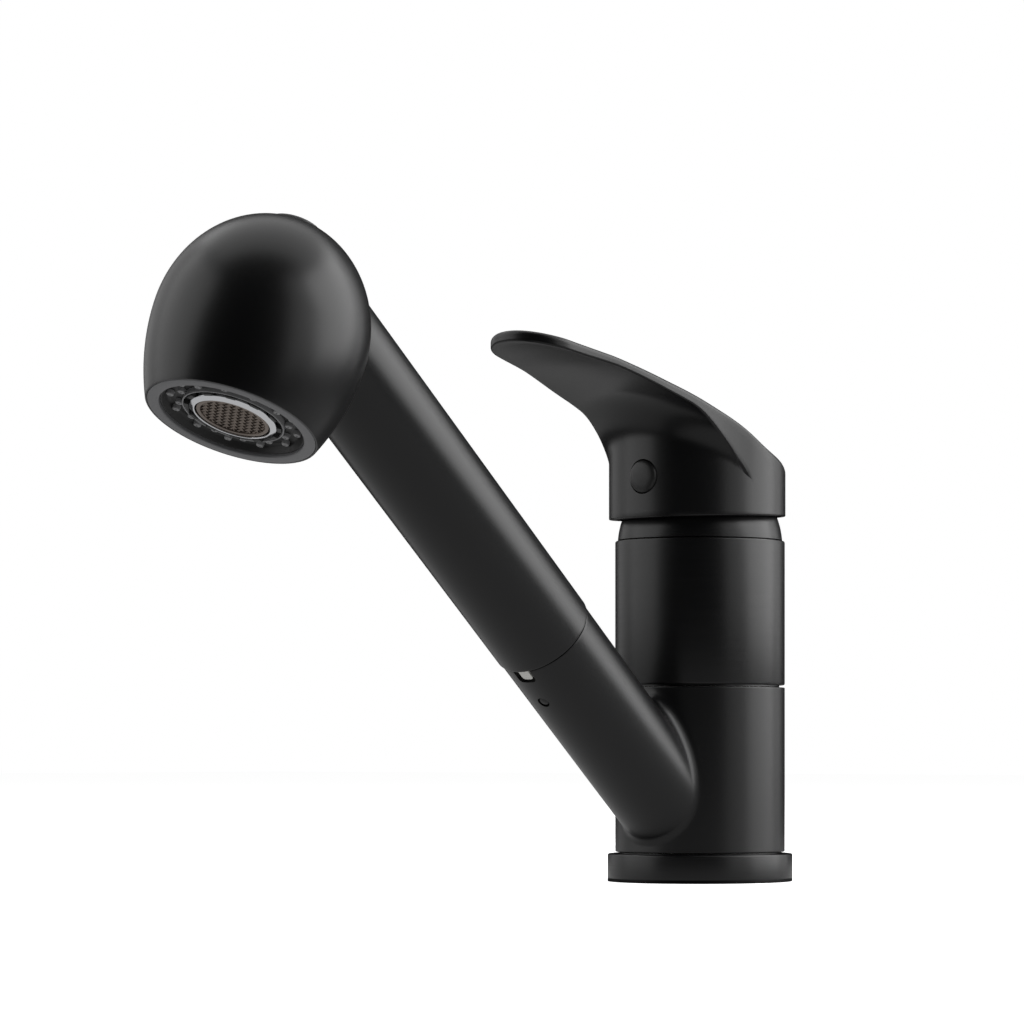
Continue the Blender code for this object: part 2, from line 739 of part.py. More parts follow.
def blade_outline():
    """Half-widths from the root, along a slightly bowed side, round the tip and back."""
    side = []
    turn = math.radians(BLADE_TIP_TURN)
    tip_start = BLADE_TIP_CENTRE + BLADE_TIP_RADIUS * math.sin(turn)
    tip_half_width = BLADE_TIP_RADIUS * math.cos(turn)
    steps = 6
    for i in range(steps):
        u = i / steps
        half_width = BLADE_ROOT_HALF_WIDTH + (tip_half_width - BLADE_ROOT_HALF_WIDTH) * u
        half_width += BLADE_BULGE * 4 * u * (1 - u)
        side.append((half_width, -(BLADE_ROOT + (tip_start - BLADE_ROOT) * u)))
    tip = arc((0, -BLADE_TIP_CENTRE), BLADE_TIP_RADIUS, -BLADE_TIP_TURN, -180 + BLADE_TIP_TURN, 12)
    root = [(-BLADE_ROOT_HALF_WIDTH + 5, -BLADE_ROOT + 6), (BLADE_ROOT_HALF_WIDTH - 5, -BLADE_ROOT + 6)]
    return root + side + tip + [(-x, y) for x, y in reversed(side)]


def lever():
    """The hub and the blade are outlines seen from above, cut to the lever's side view."""
    rim_back = RIM_RISE + (HUB_RADIUS - HUB_FORWARD) * math.tan(math.radians(RIM_TILT))
    rim_front = RIM_RISE - (HUB_RADIUS + HUB_FORWARD) * math.tan(math.radians(RIM_TILT))
    reach = HUB_RADIUS + HUB_FORWARD
    top = smooth_route(LEVER_TOP, 2)
    hub_side = [(-(HUB_RADIUS - HUB_FORWARD) - 1, rim_back), (reach + 8, rim_front)]
    hub_side += [point for point in reversed(top) if point[0] < reach + 8]
    hub_side += [(-(HUB_RADIUS - HUB_FORWARD) - 1, top[0][1])]
    blade_side = smooth_route(LEVER_TOP[5:], 2) + smooth_route(BLADE_UNDERSIDE, 1)
    piece = plate("lever", hub_outline(), 0, 60, TILT_AXIS, "matte_black")
    wide = HUB_RADIUS + 5
    combine(piece, plate("hub_side", hub_side, -wide, wide, TILT_AXIS, upright=True), "INTERSECT")
    blade = plate("blade", blade_outline(), 0, 70, TILT_AXIS)
    combine(blade, plate("blade_side", blade_side, -wide, wide, TILT_AXIS, upright=True), "INTERSECT")
    join(piece, blade)
    cavity = sphere_profile(DOME_RADIUS + CAVITY_GAP, 4, CAVITY_RISE, 5)
    profile = [(0, CAVITY_RISE), *cavity, (0, 4)]
    cut(piece, turned("hub_cavity", profile, TILT_AXIS, facets=INNER_ROUND))
    join(piece, rod("stem_boss", BOSS_RADIUS, (0, 0, BOSS_RISE), (0, 0, CAVITY_RISE + 2), TILT_AXIS))
    half = STEM_WIDTH / 2 + PIN_GAP
    socket_top = STEM_TOP - PIVOT + GAP
    cut(
        piece,
        block("stem_socket", (-half, -half, BOSS_RISE - 1), (half, half, socket_top), TILT_AXIS),
        rod("screw_hole", SET_SCREW_RADIUS + GAP, front(0, PLUG_RISE), front(reach, PLUG_RISE), TILT_AXIS),
        rod(
            "plug_hole",
            PLUG_RADIUS + PIN_GAP,
            front(reach - PLUG_DEPTH, PLUG_RISE),
            front(reach + 2, PLUG_RISE),
            TILT_AXIS,
        ),
    )


def lever_fasteners():
    start = STEM_WIDTH / 2 + GAP
    end = start + SET_SCREW_LENGTH
    low, high = front(start, PLUG_RISE), front(end, PLUG_RISE)
    screw = rod("lever_set_screw", SET_SCREW_RADIUS, low, high, TILT_AXIS, "steel")
    low, high = front(end - 3, PLUG_RISE), front(end + 1, PLUG_RISE)
    cut(screw, rod("hex_socket", SET_SCREW_RADIUS * 0.55, low, high, TILT_AXIS, facets=6))
    reach = HUB_RADIUS + HUB_FORWARD
    low, high = front(reach - PLUG_DEPTH + GAP, PLUG_RISE), front(reach - GAP, PLUG_RISE)
    rod("lever_plug", PLUG_RADIUS, low, high, TILT_AXIS, "black_plastic")


# --- Spout


def along(distance):
    """A point on the spout's or the head's own axis."""
    return (0, 0, distance)


def spout_body():
    bore = POST_RADIUS + GAP
    counterbore = bore + GLIDE_WIDTH + GAP
    lower_seat = POST_BOTTOM + GLIDE_HEIGHT + GAP
    upper_seat = VALVE_BOTTOM - GAP - GLIDE_HEIGHT - GAP
    outside = (
        (0, SPOUT_BODY_TOP),
        (BODY_RADIUS - BREAK, SPOUT_BODY_TOP),
        (BODY_RADIUS, SPOUT_BODY_TOP - BREAK),
        (BODY_RADIUS, SPOUT_BODY_BOTTOM + BREAK),
        (BODY_RADIUS - BREAK, SPOUT_BODY_BOTTOM),
        (0, SPOUT_BODY_BOTTOM),
    )
    piece = turned("spout_body", outside, SWIVEL_AXIS, "matte_black")
    join(piece, disc("branch", SOCKET_RADIUS, BRANCH_START, SOCKET_END, SPOUT_AXIS))
    inside = (
        (0, SPOUT_BODY_TOP + 1),
        (counterbore, SPOUT_BODY_TOP + 1),
        (counterbore, upper_seat),
        (bore, upper_seat),
        (bore, lower_seat),
        (counterbore, lower_seat),
        (counterbore, SPOUT_BODY_BOTTOM - 1),
        (0, SPOUT_BODY_BOTTOM - 1),
    )
    post_bore = turned("post_bore", inside, SWIVEL_AXIS)
    start, end = BRANCH_START - 7, SOCKET_FLOOR + 5
    passage = disc("hose_passage", HOSE_PASSAGE_RADIUS, start, end, SPOUT_AXIS, facets=INNER_ROUND)
    socket = disc("socket_bore", SOCKET_BORE, SOCKET_FLOOR, SOCKET_END + 2, SPOUT_AXIS)
    notch = block(
        "rim_notch",
        (-NOTCH_WIDTH / 2, -SOCKET_RADIUS - 2, SOCKET_END - NOTCH_DEPTH),
        (NOTCH_WIDTH / 2, -SOCKET_BORE / 2, SOCKET_END + 2),
        SPOUT_AXIS,
    )
    snap_hole = rod(
        "snap_hole",
        SNAP_RADIUS + PIN_GAP,
        (0, -SOCKET_RADIUS - 2, SNAP_PLACE),
        (0, -SOCKET_BORE / 2, SNAP_PLACE),
        SPOUT_AXIS,
        facets=16,
    )
    pin_angle = math.degrees(math.asin((STOP_PIN_RADIUS + GAP) / POST_RADIUS))
    stop_groove = sector(
        "stop_groove",
        bore - 2,
        POST_RADIUS + STOP_PIN_REACH + GAP,
        90,
        SWIVEL_LIMIT + pin_angle,
        STOP_PIN_HEIGHT - STOP_PIN_RADIUS - GAP,
        STOP_PIN_HEIGHT + STOP_PIN_RADIUS + GAP,
        SWIVEL_AXIS,
    )
    cut(piece, post_bore, passage, socket, notch, snap_hole, stop_groove)


def dock_sleeve():
    """A lining in the mouth of the socket: a lug fills the rim's notch and a snap holds it."""
    outer = SOCKET_BORE - GAP
    inner = outer - SLEEVE_WALL
    end = SOCKET_END - GAP
    start = end - SLEEVE_LENGTH
    sleeve = ring("dock_sleeve", inner, outer, start, end, SPOUT_AXIS, "light_plastic", INNER_ROUND)
    half = NOTCH_WIDTH / 2 - GAP
    lug = block(
        "sleeve_lug",
        (-half, -SOCKET_RADIUS + 0.4, end - NOTCH_DEPTH + 2 * GAP),
        (half, -inner - SLEEVE_WALL / 2, end),
        SPOUT_AXIS,
    )
    snap = rod(
        "sleeve_snap",
        SNAP_RADIUS,
        (0, -SOCKET_RADIUS + 0.3, SNAP_PLACE),
        (0, -inner - SLEEVE_WALL / 2, SNAP_PLACE),
        SPOUT_AXIS,
        facets=16,
    )
    join(sleeve, lug, snap)


def hose():
    """The straight stretch pulls out with the spray. The bent one stays in the body and the shank."""
    end = SPRAY_START + SPIGOT_FLANGE
    rod("hose_upper", HOSE_RADIUS, along(HOSE_SPLIT), along(end), SPOUT_AXIS, "braid", 16)
    low = end - FERRULE_LENGTH
    inner = HOSE_RADIUS + GAP
    ring("hose_ferrule", inner, inner + FERRULE_WALL, low, end, SPOUT_AXIS, "steel", SMALL_ROUND)
    curve = bpy.data.curves.new("hose_lower", "CURVE")
    curve.dimensions = "3D"
    curve.bevel_depth = HOSE_RADIUS * MM
    curve.bevel_resolution = 3
    curve.use_fill_caps = True
    route = smooth_route(HOSE_ROUTE, 3)
    spline = curve.splines.new("POLY")
    spline.points.add(len(route) - 1)
    for point, (reach, height) in zip(spline.points, route):
        point.co = (0.0, -reach * MM, height * MM, 1.0)
    place(bpy.data.objects.new("hose_lower", mesh_from_curve(curve)), SWIVEL_AXIS, "braid")


# --- Spray


def bell_profile(radius, rim, widest, height, low, steps):
    """From the top down: an elliptic dome, then a side that narrows as a parabola to the rim."""
    dome = [math.radians(90 - 90 * i / steps) for i in range(steps + 1)]
    points = [(radius * math.cos(a), widest + (height - widest) * math.sin(a)) for a in dome]
    points[0] = (0, height)
    side = [widest + (low - widest) * (i + 1) / steps for i in range(steps)]
    points += [(radius - (radius - rim) * ((widest - z) / widest) ** 2, z) for z in side]
    return [*points, (0, low)]


def spray_shell():
    """The bell and the handle tube as one hollow shell, open at the face and at the hose's end."""
    outer = bell_profile(BELL_RADIUS, BELL_RIM_RADIUS, BELL_WIDEST, BELL_HEIGHT, BELL_CUT, 5)
    piece = turned("spray_shell", outer, HEAD_AXIS, "coated_plastic")
    join(piece, disc("spray_tube", SPRAY_TUBE_RADIUS, SPRAY_START, SPRAY_TUBE_END, SPOUT_AXIS))
    radius, rim = BELL_RADIUS - SHELL_WALL, BELL_RIM_RADIUS - SHELL_WALL
    inner = bell_profile(radius, rim, BELL_WIDEST, BELL_HEIGHT - SHELL_WALL, 1, 5)
    cut(
        piece,
        turned("bell_cavity", inner, HEAD_AXIS, facets=INNER_ROUND),
        disc("spray_tube_bore", SPRAY_TUBE_BORE, SPRAY_START - 2, SPRAY_BORE_END, SPOUT_AXIS),
        rod("button_hole", BUTTON_RADIUS + GAP, along(BELL_HEIGHT - 8), along(BELL_HEIGHT + 3), HEAD_AXIS),
    )


def docking_spigot():
    """The spray's plug for the dock sleeve. The hose runs through it."""
    sleeve_bore = SOCKET_BORE - GAP - SLEEVE_WALL
    outer = sleeve_bore - GAP
    inner = outer - SPIGOT_WALL
    flange = SPRAY_TUBE_BORE - GAP
    shoulder = SPRAY_START + GAP
    profile = (
        (flange, shoulder + SPIGOT_FLANGE),
        (flange, shoulder),
        (outer, shoulder),
        (outer, shoulder - SPIGOT_LENGTH),
        (inner, shoulder - SPIGOT_LENGTH),
        (inner, shoulder + SPIGOT_FLANGE),
    )
    turned("docking_spigot", profile, SPOUT_AXIS, "light_plastic", INNER_ROUND)


def hose_nut():
    """A conical nut that clamps the hose's end to the waterway."""
    low, high = NUT_START, NUT_START + HOSE_NUT_LENGTH
    nose = HOSE_RADIUS + 2 * GAP + 1.2
    bore = HOSE_RADIUS - 1.0
    profile = (
        (HOSE_NUT_RADIUS, high),
        (HOSE_NUT_RADIUS, low + HOSE_NUT_LENGTH * 0.4),
        (nose, low + GAP),
        (bore, low + GAP),
        (bore, high),
    )
    turned("hose_nut", profile, SPOUT_AXIS, "chrome", SMALL_ROUND)


def inlet_parts():
    """Filter and non-return valve in the waterway's mouth."""
    outer = INLET_BORE - GAP
    low = WATERWAY_START + GAP
    ring("filter_washer", 2.0, outer, low, low + FILTER_HEIGHT, SPOUT_AXIS, "steel", SMALL_ROUND)
    low += FILTER_HEIGHT + GAP
    high = low + CHECK_VALVE_LENGTH
    bore = outer - 1.4
    floor = low + 1.5
    profile = (
        (outer, high),
        (outer, low),
        (CHECK_VALVE_SEAT, low),
        (CHECK_VALVE_SEAT, floor),
        (bore, floor),
        (bore, high),
    )
    turned("check_valve_body", profile, SPOUT_AXIS, "light_plastic", SMALL_ROUND)
    flap_low = floor + GAP
    flap = (
        (0, flap_low + 5.5),
        (1.2, flap_low + 5.5),
        (1.2, flap_low + 1.4),
        (bore - GAP, flap_low + 1.4),
        (bore - GAP, flap_low),
        (0, flap_low),
    )
    turned("check_valve_flap", flap, SPOUT_AXIS, "black_rubber", 16)


def waterway():
    """A pipe along the handle into a manifold in the head, with a chamber over the spray face."""
    low, high = MANIFOLD_LOW, MANIFOLD_TOP
    piece = disc("waterway", MANIFOLD_RADIUS, low, high, HEAD_AXIS, "light_plastic", INNER_ROUND)
    neck = WATERWAY_START + INLET_DEPTH + 6
    pipe = (
        (0, WATERWAY_END),
        (WATERWAY_NECK, WATERWAY_END),
        (WATERWAY_NECK, neck),
        (WATERWAY_RADIUS, neck - 2),
        (WATERWAY_RADIUS, WATERWAY_START),
        (0, WATERWAY_START),
    )
    join(piece, turned("waterway_pipe", pipe, SPOUT_AXIS, facets=SMALL_ROUND))
    inlet_end = WATERWAY_START + INLET_DEPTH
    seal = SPOOL_SEAL_HEIGHT
    cut(
        piece,
        disc("inlet_bore", INLET_BORE, WATERWAY_START - 1, inlet_end, SPOUT_AXIS, facets=SMALL_ROUND),
        disc("water_bore", WATER_BORE, inlet_end - 1, WATERWAY_END + 3, SPOUT_AXIS, facets=16),
        disc("spray_chamber", CHAMBER_RADIUS, MANIFOLD_LOW - 1, CHAMBER_TOP, HEAD_AXIS, facets=SMALL_ROUND),
        disc("spool_bore", SPOOL_RADIUS + GAP, CHAMBER_TOP - 1, MANIFOLD_TOP + 1, HEAD_AXIS, facets=16),
        disc("spool_seal_seat", SPOOL_SEAL_BORE, seal - 1, seal + 1, HEAD_AXIS, facets=16),
    )


# --- Spray face


def face_ring():
    """The grey rim of the face, with a skirt that snaps into the bell."""
    outer = BELL_RIM_RADIUS - 0.2
    skirt_outer = BELL_RIM_RADIUS - SHELL_WALL - GAP
    inner = face_inner_radius()
    profile = (
        (skirt_outer, FACE_RING_HEIGHT),
        (skirt_outer, FACE_RING_LIP),
        (outer, FACE_RING_LIP),
        (outer, BREAK),
        (outer - BREAK, 0),
        (inner, 0),
        (inner, FACE_RING_HEIGHT),
    )
    turned("face_ring", profile, HEAD_AXIS, "grey_plastic")


def face_inner_radius():
    lip = BELL_RIM_RADIUS - 0.2 - FACE_RING_WIDTH
    return min(lip, BELL_RIM_RADIUS - SHELL_WALL - GAP - FACE_RING_SKIRT)


def nozzle_places():
    """Nozzles stand alternately on two circles."""
    for i in range(NOZZLE_COUNT):
        angle = 2 * math.pi * i / NOZZLE_COUNT
        radius = NOZZLE_CIRCLES[i % 2]
        yield radius * math.cos(angle), radius * math.sin(angle)


def nozzle_group(name, radius, low, high, facets):
    """One object with a rod at each nozzle, for a single Boolean."""
    mesh = bpy.data.meshes.new(name)
    shape = bmesh.new()
    for x, y in nozzle_places():
        bmesh.ops.create_cone(
            shape,
            cap_ends=True,
            segments=facets,
            radius1=radius * MM,
            radius2=radius * MM,
            depth=(high - low) * MM,
            matrix=Matrix.Translation(Vector((x, y, (low + high) / 2)) * MM),
        )
    shape.to_mesh(mesh)
    shape.free()
    return place(bpy.data.objects.new(name, mesh), HEAD_AXIS, None)


def spray_face():
    """A black plate with a hole for each nozzle, and the silicone sheet whose nozzles fill them."""
    inner = AERATOR_RADIUS + KEY_RING_WIDTH + 2 * GAP
    outer = face_inner_radius() - GAP
    plate_top = FACEPLATE_LOW + FACEPLATE_HEIGHT
    faceplate = ring("spray_faceplate", inner, outer, FACEPLATE_LOW, plate_top, HEAD_AXIS, "black_plastic")
    cut(faceplate, nozzle_group("nozzle_holes", NOZZLE_RADIUS + GAP, FACEPLATE_LOW - 1, plate_top + 1, 6))
    low = plate_top + GAP
    high = low + MEMBRANE_HEIGHT
    membrane = ring("nozzle_membrane", inner, outer, low, high, HEAD_AXIS, "grey_silicone", INNER_ROUND)
    join(membrane, nozzle_group("nozzle_rods", NOZZLE_RADIUS, NOZZLE_TIP, low + MEMBRANE_HEIGHT / 2, 6))


def aerator():
    """A toothed key ring, the chrome rim, a mesh and the insert behind it."""
    bore = AERATOR_RADIUS + GAP
    rim = bore + KEY_RING_WIDTH
    high = FACEPLATE_LOW + FACEPLATE_HEIGHT + MEMBRANE_HEIGHT + GAP
    key_ring = ring("aerator_key_ring", bore, rim, KEY_RING_LOW, high, HEAD_AXIS, "black_plastic")
    mesh = bpy.data.meshes.new("key_slots")
    shape = bmesh.new()
    for i in range(KEY_COUNT):
        turn = Matrix.Rotation(2 * math.pi * (i + 0.5) / KEY_COUNT, 4, "Z")
        size = Matrix.Diagonal((KEY_RING_WIDTH * 4 * MM, 1.8 * MM, 2 * MM, 1.0))
        shift = Matrix.Translation(Vector((rim, 0, KEY_RING_LOW)) * MM)
        bmesh.ops.create_cube(shape, size=1.0, matrix=turn @ shift @ size)
    shape.to_mesh(mesh)
    shape.free()
    cut(key_ring, place(bpy.data.objects.new("key_slots", mesh), HEAD_AXIS, None))
    inner = AERATOR_RADIUS - AERATOR_RING_WIDTH
    low, high = AERATOR_RING_LOW, AERATOR_RING_LOW + AERATOR_RING_HEIGHT
    ring("aerator_ring", inner, AERATOR_RADIUS, low, high, HEAD_AXIS, "chrome")
    mesh_top = MESH_LOW + MESH_HEIGHT
    disc("aerator_mesh", inner - GAP, MESH_LOW, mesh_top, HEAD_AXIS, "steel", INNER_ROUND)
    core_low = high + GAP
    core = (
        (0, AERATOR_CORE_TOP),
        (AERATOR_RADIUS, AERATOR_CORE_TOP),
        (AERATOR_RADIUS, core_low),
        (inner - GAP, core_low),
        (inner - GAP, mesh_top + GAP),
        (0, mesh_top + GAP),
    )
    turned("aerator_core", core, HEAD_AXIS, "light_plastic", INNER_ROUND)


def diverter():
    """A button in the top of the head pushes a spool down against a spring."""
    top = BELL_HEIGHT + BUTTON_PROUD
    profile = (
        (0, top),
        (BUTTON_RADIUS * 0.6, top - 0.35),
        (BUTTON_RADIUS, top - 1.6),
        (BUTTON_RADIUS, BUTTON_LOW + BUTTON_COLLAR),
        (BUTTON_RADIUS + BUTTON_FLANGE, BUTTON_LOW + BUTTON_COLLAR),
        (BUTTON_RADIUS + BUTTON_FLANGE, BUTTON_LOW),
        (0, BUTTON_LOW),
    )
    turned("diverter_button", profile, HEAD_AXIS, "black_plastic", SMALL_ROUND)
    low, high = MANIFOLD_TOP + GAP, BUTTON_LOW - GAP
    ring("diverter_spring", SPRING_RADIUS - SPRING_WALL, SPRING_RADIUS, low, high, HEAD_AXIS, "steel", 16)
    spool = (
        (0, high),
        (SPOOL_RADIUS, high),
        (SPOOL_RADIUS, SPOOL_END + SPOOL_HEAD),
        (SPOOL_HEAD_RADIUS, SPOOL_END + SPOOL_HEAD),
        (SPOOL_HEAD_RADIUS, SPOOL_END),
        (0, SPOOL_END),
    )
    turned("diverter_spool", spool, HEAD_AXIS, "brass", 16)
    radius = SPOOL_RADIUS + GAP / 2 + SPOOL_SEAL_SECTION
    o_ring("diverter_o_ring", radius, SPOOL_SEAL_SECTION, SPOOL_SEAL_HEIGHT, HEAD_AXIS, 16)


deck_flange()
base_gasket()
mounting_post()
swivel_stop_pin()
swivel_seals()
fixings_below()
valve_body()
cartridge_stack()
moving_disc()
disc_carrier()
turret()
stem()
stem_pin_rod("stem_pin", STEM_PIN_RADIUS, TURRET_RADIUS - 0.6, TURN_AXIS, "steel")
dome_collar()
lever()
lever_fasteners()
spout_body()
dock_sleeve()
hose()
spray_shell()
docking_spigot()
hose_nut()
inlet_parts()
waterway()
face_ring()
spray_face()
aerator()
diverter()
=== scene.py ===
# %% [markdown]
# # A matte black kitchen mixer with a pull-out spray
# The tap has a fixed upper body with the lever on it, a lower body that swivels with the spout, and
# a bell-shaped spray on a hose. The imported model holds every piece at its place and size, so this
# script only gives the pieces their fine surfaces and finishes. It works in millimetres, in the same
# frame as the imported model, and goes back to Blender's metres when a mesh is made.

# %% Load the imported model
import json
import math

import bmesh
import bpy
import numpy as np
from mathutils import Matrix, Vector


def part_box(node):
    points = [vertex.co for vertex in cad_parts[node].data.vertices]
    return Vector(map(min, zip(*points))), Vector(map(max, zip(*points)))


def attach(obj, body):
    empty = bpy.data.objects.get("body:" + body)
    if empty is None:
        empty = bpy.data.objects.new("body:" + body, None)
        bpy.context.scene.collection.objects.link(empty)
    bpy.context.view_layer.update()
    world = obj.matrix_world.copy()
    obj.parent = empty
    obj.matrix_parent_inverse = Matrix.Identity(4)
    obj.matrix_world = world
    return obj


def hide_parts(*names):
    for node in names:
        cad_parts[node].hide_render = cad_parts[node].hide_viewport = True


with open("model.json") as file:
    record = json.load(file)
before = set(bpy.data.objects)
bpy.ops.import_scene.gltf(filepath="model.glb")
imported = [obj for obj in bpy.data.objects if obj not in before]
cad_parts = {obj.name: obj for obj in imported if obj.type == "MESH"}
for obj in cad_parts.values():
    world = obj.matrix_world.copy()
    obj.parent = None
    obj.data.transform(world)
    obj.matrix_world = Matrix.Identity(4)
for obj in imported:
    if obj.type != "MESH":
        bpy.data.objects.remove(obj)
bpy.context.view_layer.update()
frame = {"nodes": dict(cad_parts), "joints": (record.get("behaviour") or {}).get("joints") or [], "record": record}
MM = 0.001

# %% [markdown]
# ## Places and axes
# Each turned piece has an axis. The joints already name the two slanted ones: the spray turns about
# the spout's axis, and the diverter button is pressed along the head's. An axis is kept as an origin
# and three unit vectors, the last of them along the axis. The middle of the spray's face is no joint's
# place, so its reach and its height above the worktop are given here.


# %% Axes of the body, the spout and the spray head
def box_mm(node):
    low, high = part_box(node)
    return np.array(low) / MM, np.array(high) / MM


def axes_at(origin, along, first):
    """An origin with three unit vectors: first, along x first, and along."""
    along = np.array(along, float) / np.linalg.norm(along)
    first = np.array(first, float)
    return np.array(origin, float), first, np.cross(along, first), along


joints = {joint["name"]: joint for joint in frame["joints"]}
UP = np.array((0.0, 0.0, 1.0))
FORWARD = np.array((0.0, -1.0, 0.0))
SPOUT_DIRECTION = np.array(joints["spray_turn"]["axis"])
SPOUT_ORIGIN = np.array(joints["spray_turn"]["pos_m"]) / MM
HEAD_UP = -np.array(joints["diverter_press"]["axis"])
PIVOT = joints["lever_tilt"]["pos_m"][2] / MM
HEAD_REACH, OUTLET_HEIGHT = 196.4, 122.2
FACE_CENTRE = np.array((0.0, -HEAD_REACH, OUTLET_HEIGHT))
UNDERSIDE = -np.cross(SPOUT_DIRECTION, (1.0, 0.0, 0.0))
HEAD_BACK = np.cross(HEAD_UP, (1.0, 0.0, 0.0))
BODY = axes_at((0, 0, 0), UP, FORWARD)
SPOUT = axes_at(SPOUT_ORIGIN, SPOUT_DIRECTION, UNDERSIDE)
HEAD = axes_at(FACE_CENTRE, HEAD_UP, HEAD_BACK)

# %% [markdown]
# ## From numbers to meshes
# A surface here is a grid: rows of points, each row with the same number of columns, worked out with
# numpy as one array. Neighbouring points make quads. Where two grids share an edge they have the same
# points on it, so welding them by distance gives one closed skin.


# %% Grids and meshes
WELD = 0.004


def grid_faces(rows, columns, wrap):
    """Quads between each point, the next column's, and the same two in the next row."""
    row = np.arange(rows - 1)[:, None] * columns
    column = np.arange(columns if wrap else columns - 1)[None, :]
    following = (column + 1) % columns
    corners = (row + column, row + following, row + columns + following, row + columns + column)
    return np.stack(corners, axis=-1).reshape(-1, 4)


def mesh_of(name, grids, sharp=35.0):
    """One welded mesh of several (points, wrap) grids, smooth but for edges over the sharp angle."""
    points, faces, count = [], [], 0
    for grid, wrap in grids:
        rows, columns = grid.shape[:2]
        points.append(grid.reshape(-1, 3) * MM)
        faces.append(grid_faces(rows, columns, wrap) + count)
        count += rows * columns
    mesh = bpy.data.meshes.new(name)
    mesh.from_pydata(np.concatenate(points).tolist(), [], np.concatenate(faces).tolist())
    shape = bmesh.new()
    shape.from_mesh(mesh)
    bmesh.ops.remove_doubles(shape, verts=shape.verts, dist=WELD * MM)
    bmesh.ops.recalc_face_normals(shape, faces=shape.faces)
    if shape.calc_volume(signed=True) < 0:
        bmesh.ops.reverse_faces(shape, faces=shape.faces)
    shape.to_mesh(mesh)
    shape.free()
    mesh.shade_smooth()
    mesh.set_sharp_from_angle(angle=math.radians(sharp))
    return mesh


def object_of(name, data):
    """A new object in the scene."""
    shape = bpy.data.objects.new(name, data)
    bpy.context.scene.collection.objects.link(shape)
    return shape


def piece(name, mesh, body, material, nodes=()):
    """A finished piece: it rides on a body, stands for CAD nodes and takes the finish it is given."""
    shape = object_of(name, mesh)
    mesh.materials.clear()
    mesh.materials.append(MATERIALS[material])
    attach(shape, body)
    if nodes:
        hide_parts(*nodes)
    print(f"{name}: {len(mesh.polygons)} faces, rides on {body}")
    return shape


# %% [markdown]
# ## Turned pieces
# Most of a tap is turned on a lathe, then its edges are broken. A profile is a list of corners, each
# with the radius that rounds it. The rounded profile is carried round the axis.


# %% Rounded profiles and lathe grids
def arc_points(start, corner, end, steps):
    """An arc that leaves start towards the corner and arrives at end from it.

    It is the rational quadratic with weight w, the sine of half the corner's angle:
    ((1-t)^2 start + 2wt(1-t) corner + t^2 end) / ((1-t)^2 + 2wt(1-t) + t^2).
    """
    a, b = start - corner, end - corner
    lengths = np.linalg.norm(a, axis=-1) * np.linalg.norm(b, axis=-1)
    cosine = np.clip((a * b).sum(-1) / np.maximum(lengths, 1e-9), -1, 1)
    weight = np.sin(np.arccos(cosine) / 2)[..., None]
    t = np.linspace(0, 1, steps).reshape(-1, *([1] * start.ndim))
    middle = 2 * weight * t * (1 - t)
    return ((1 - t) ** 2 * start + middle * corner + t**2 * end) / ((1 - t) ** 2 + middle + t**2)


def rounded(corners, steps=5):
    """The profile through (radius, height, rounding) corners, an arc at each."""
    corners = np.array(corners, float)
    points = [corners[:1, :2]]
    for before, here, after in zip(corners, corners[1:], corners[2:]):
        back, on = before[:2] - here[:2], after[:2] - here[:2]
        back_length, on_length = np.linalg.norm(back), np.linalg.norm(on)
        cosine = np.clip(back @ on / (back_length * on_length), -1, 1)
        half = np.arccos(cosine) / 2
        reach = min(here[2] / max(math.tan(half), 1e-6), 0.49 * back_length, 0.49 * on_length)
        if reach < 1e-4:
            points.append(here[None, :2])
            continue
        start = here[:2] + back / back_length * reach
        end = here[:2] + on / on_length * reach
        points.append(arc_points(start, here[:2], end, steps))
    points.append(corners[-1:, :2])
    return np.concatenate(points)


def ring_of(corners, steps=5):
    """A rounded profile that comes back to its first corner."""
    return rounded([*corners, (*corners[0][:2], 0)], steps)


def plain_ring(inner, outer, low, back, rounding, steps, back_rounding=0):
    """A ring of rectangular section with its two lower corners rounded."""
    corners = [(inner, back, 0), (inner, low, rounding), (outer, low, rounding)]
    return ring_of([*corners, (outer, back, back_rounding)], steps)


def blind_tube(radius, steps, end, bore, floor, roundings):
    """A tube's (radius, distance) profile: outside to its end, over the end, and in to a floor."""
    back = math.copysign(1, steps[0] - end)
    outside = [(radius, step) for step in (*steps, end + back)]
    mouth = [(radius, end + 0.9 * back, 0), (radius, end, roundings[0]), (bore, end, roundings[1])]
    mouth += [(bore, floor, roundings[2]), (0, floor, 0)]
    return np.concatenate([outside, rounded(mouth)[1:]])


def outward_of(axes, angles):
    """Unit vectors away from the axis: cos a first + sin a second."""
    return np.cos(angles)[..., None] * axes[1] + np.sin(angles)[..., None] * axes[2]


def round_of(axes, angles):
    """Unit vectors round the axis: -sin a first + cos a second."""
    return -np.sin(angles)[..., None] * axes[1] + np.cos(angles)[..., None] * axes[2]


def even_angles(count):
    return np.arange(count) * 2 * np.pi / count


def lathe(axes, profile, angles=None, columns=192):
    """Point (r, h) at angle a lies at origin + r cos a first + r sin a second + h along."""
    if angles is None:
        angles = even_angles(columns)
    profile = np.asarray(profile, float)
    radii, heights = profile[:, 0, None, None], profile[:, 1, None, None]
    return axes[0] + radii * outward_of(axes, angles)[None] + heights * axes[3]


def closed(profile):
    """A profile that comes back to its start, for a ring."""
    profile = np.asarray(profile, float)
    return np.concatenate([profile, profile[:1]])


def turned(name, axes, profile, body, material, nodes=(), columns=192):
    """A piece that is one profile carried round an axis."""
    mesh = mesh_of(name, [(lathe(axes, profile, columns=columns), True)])
    return piece(name, mesh, body, material, nodes)


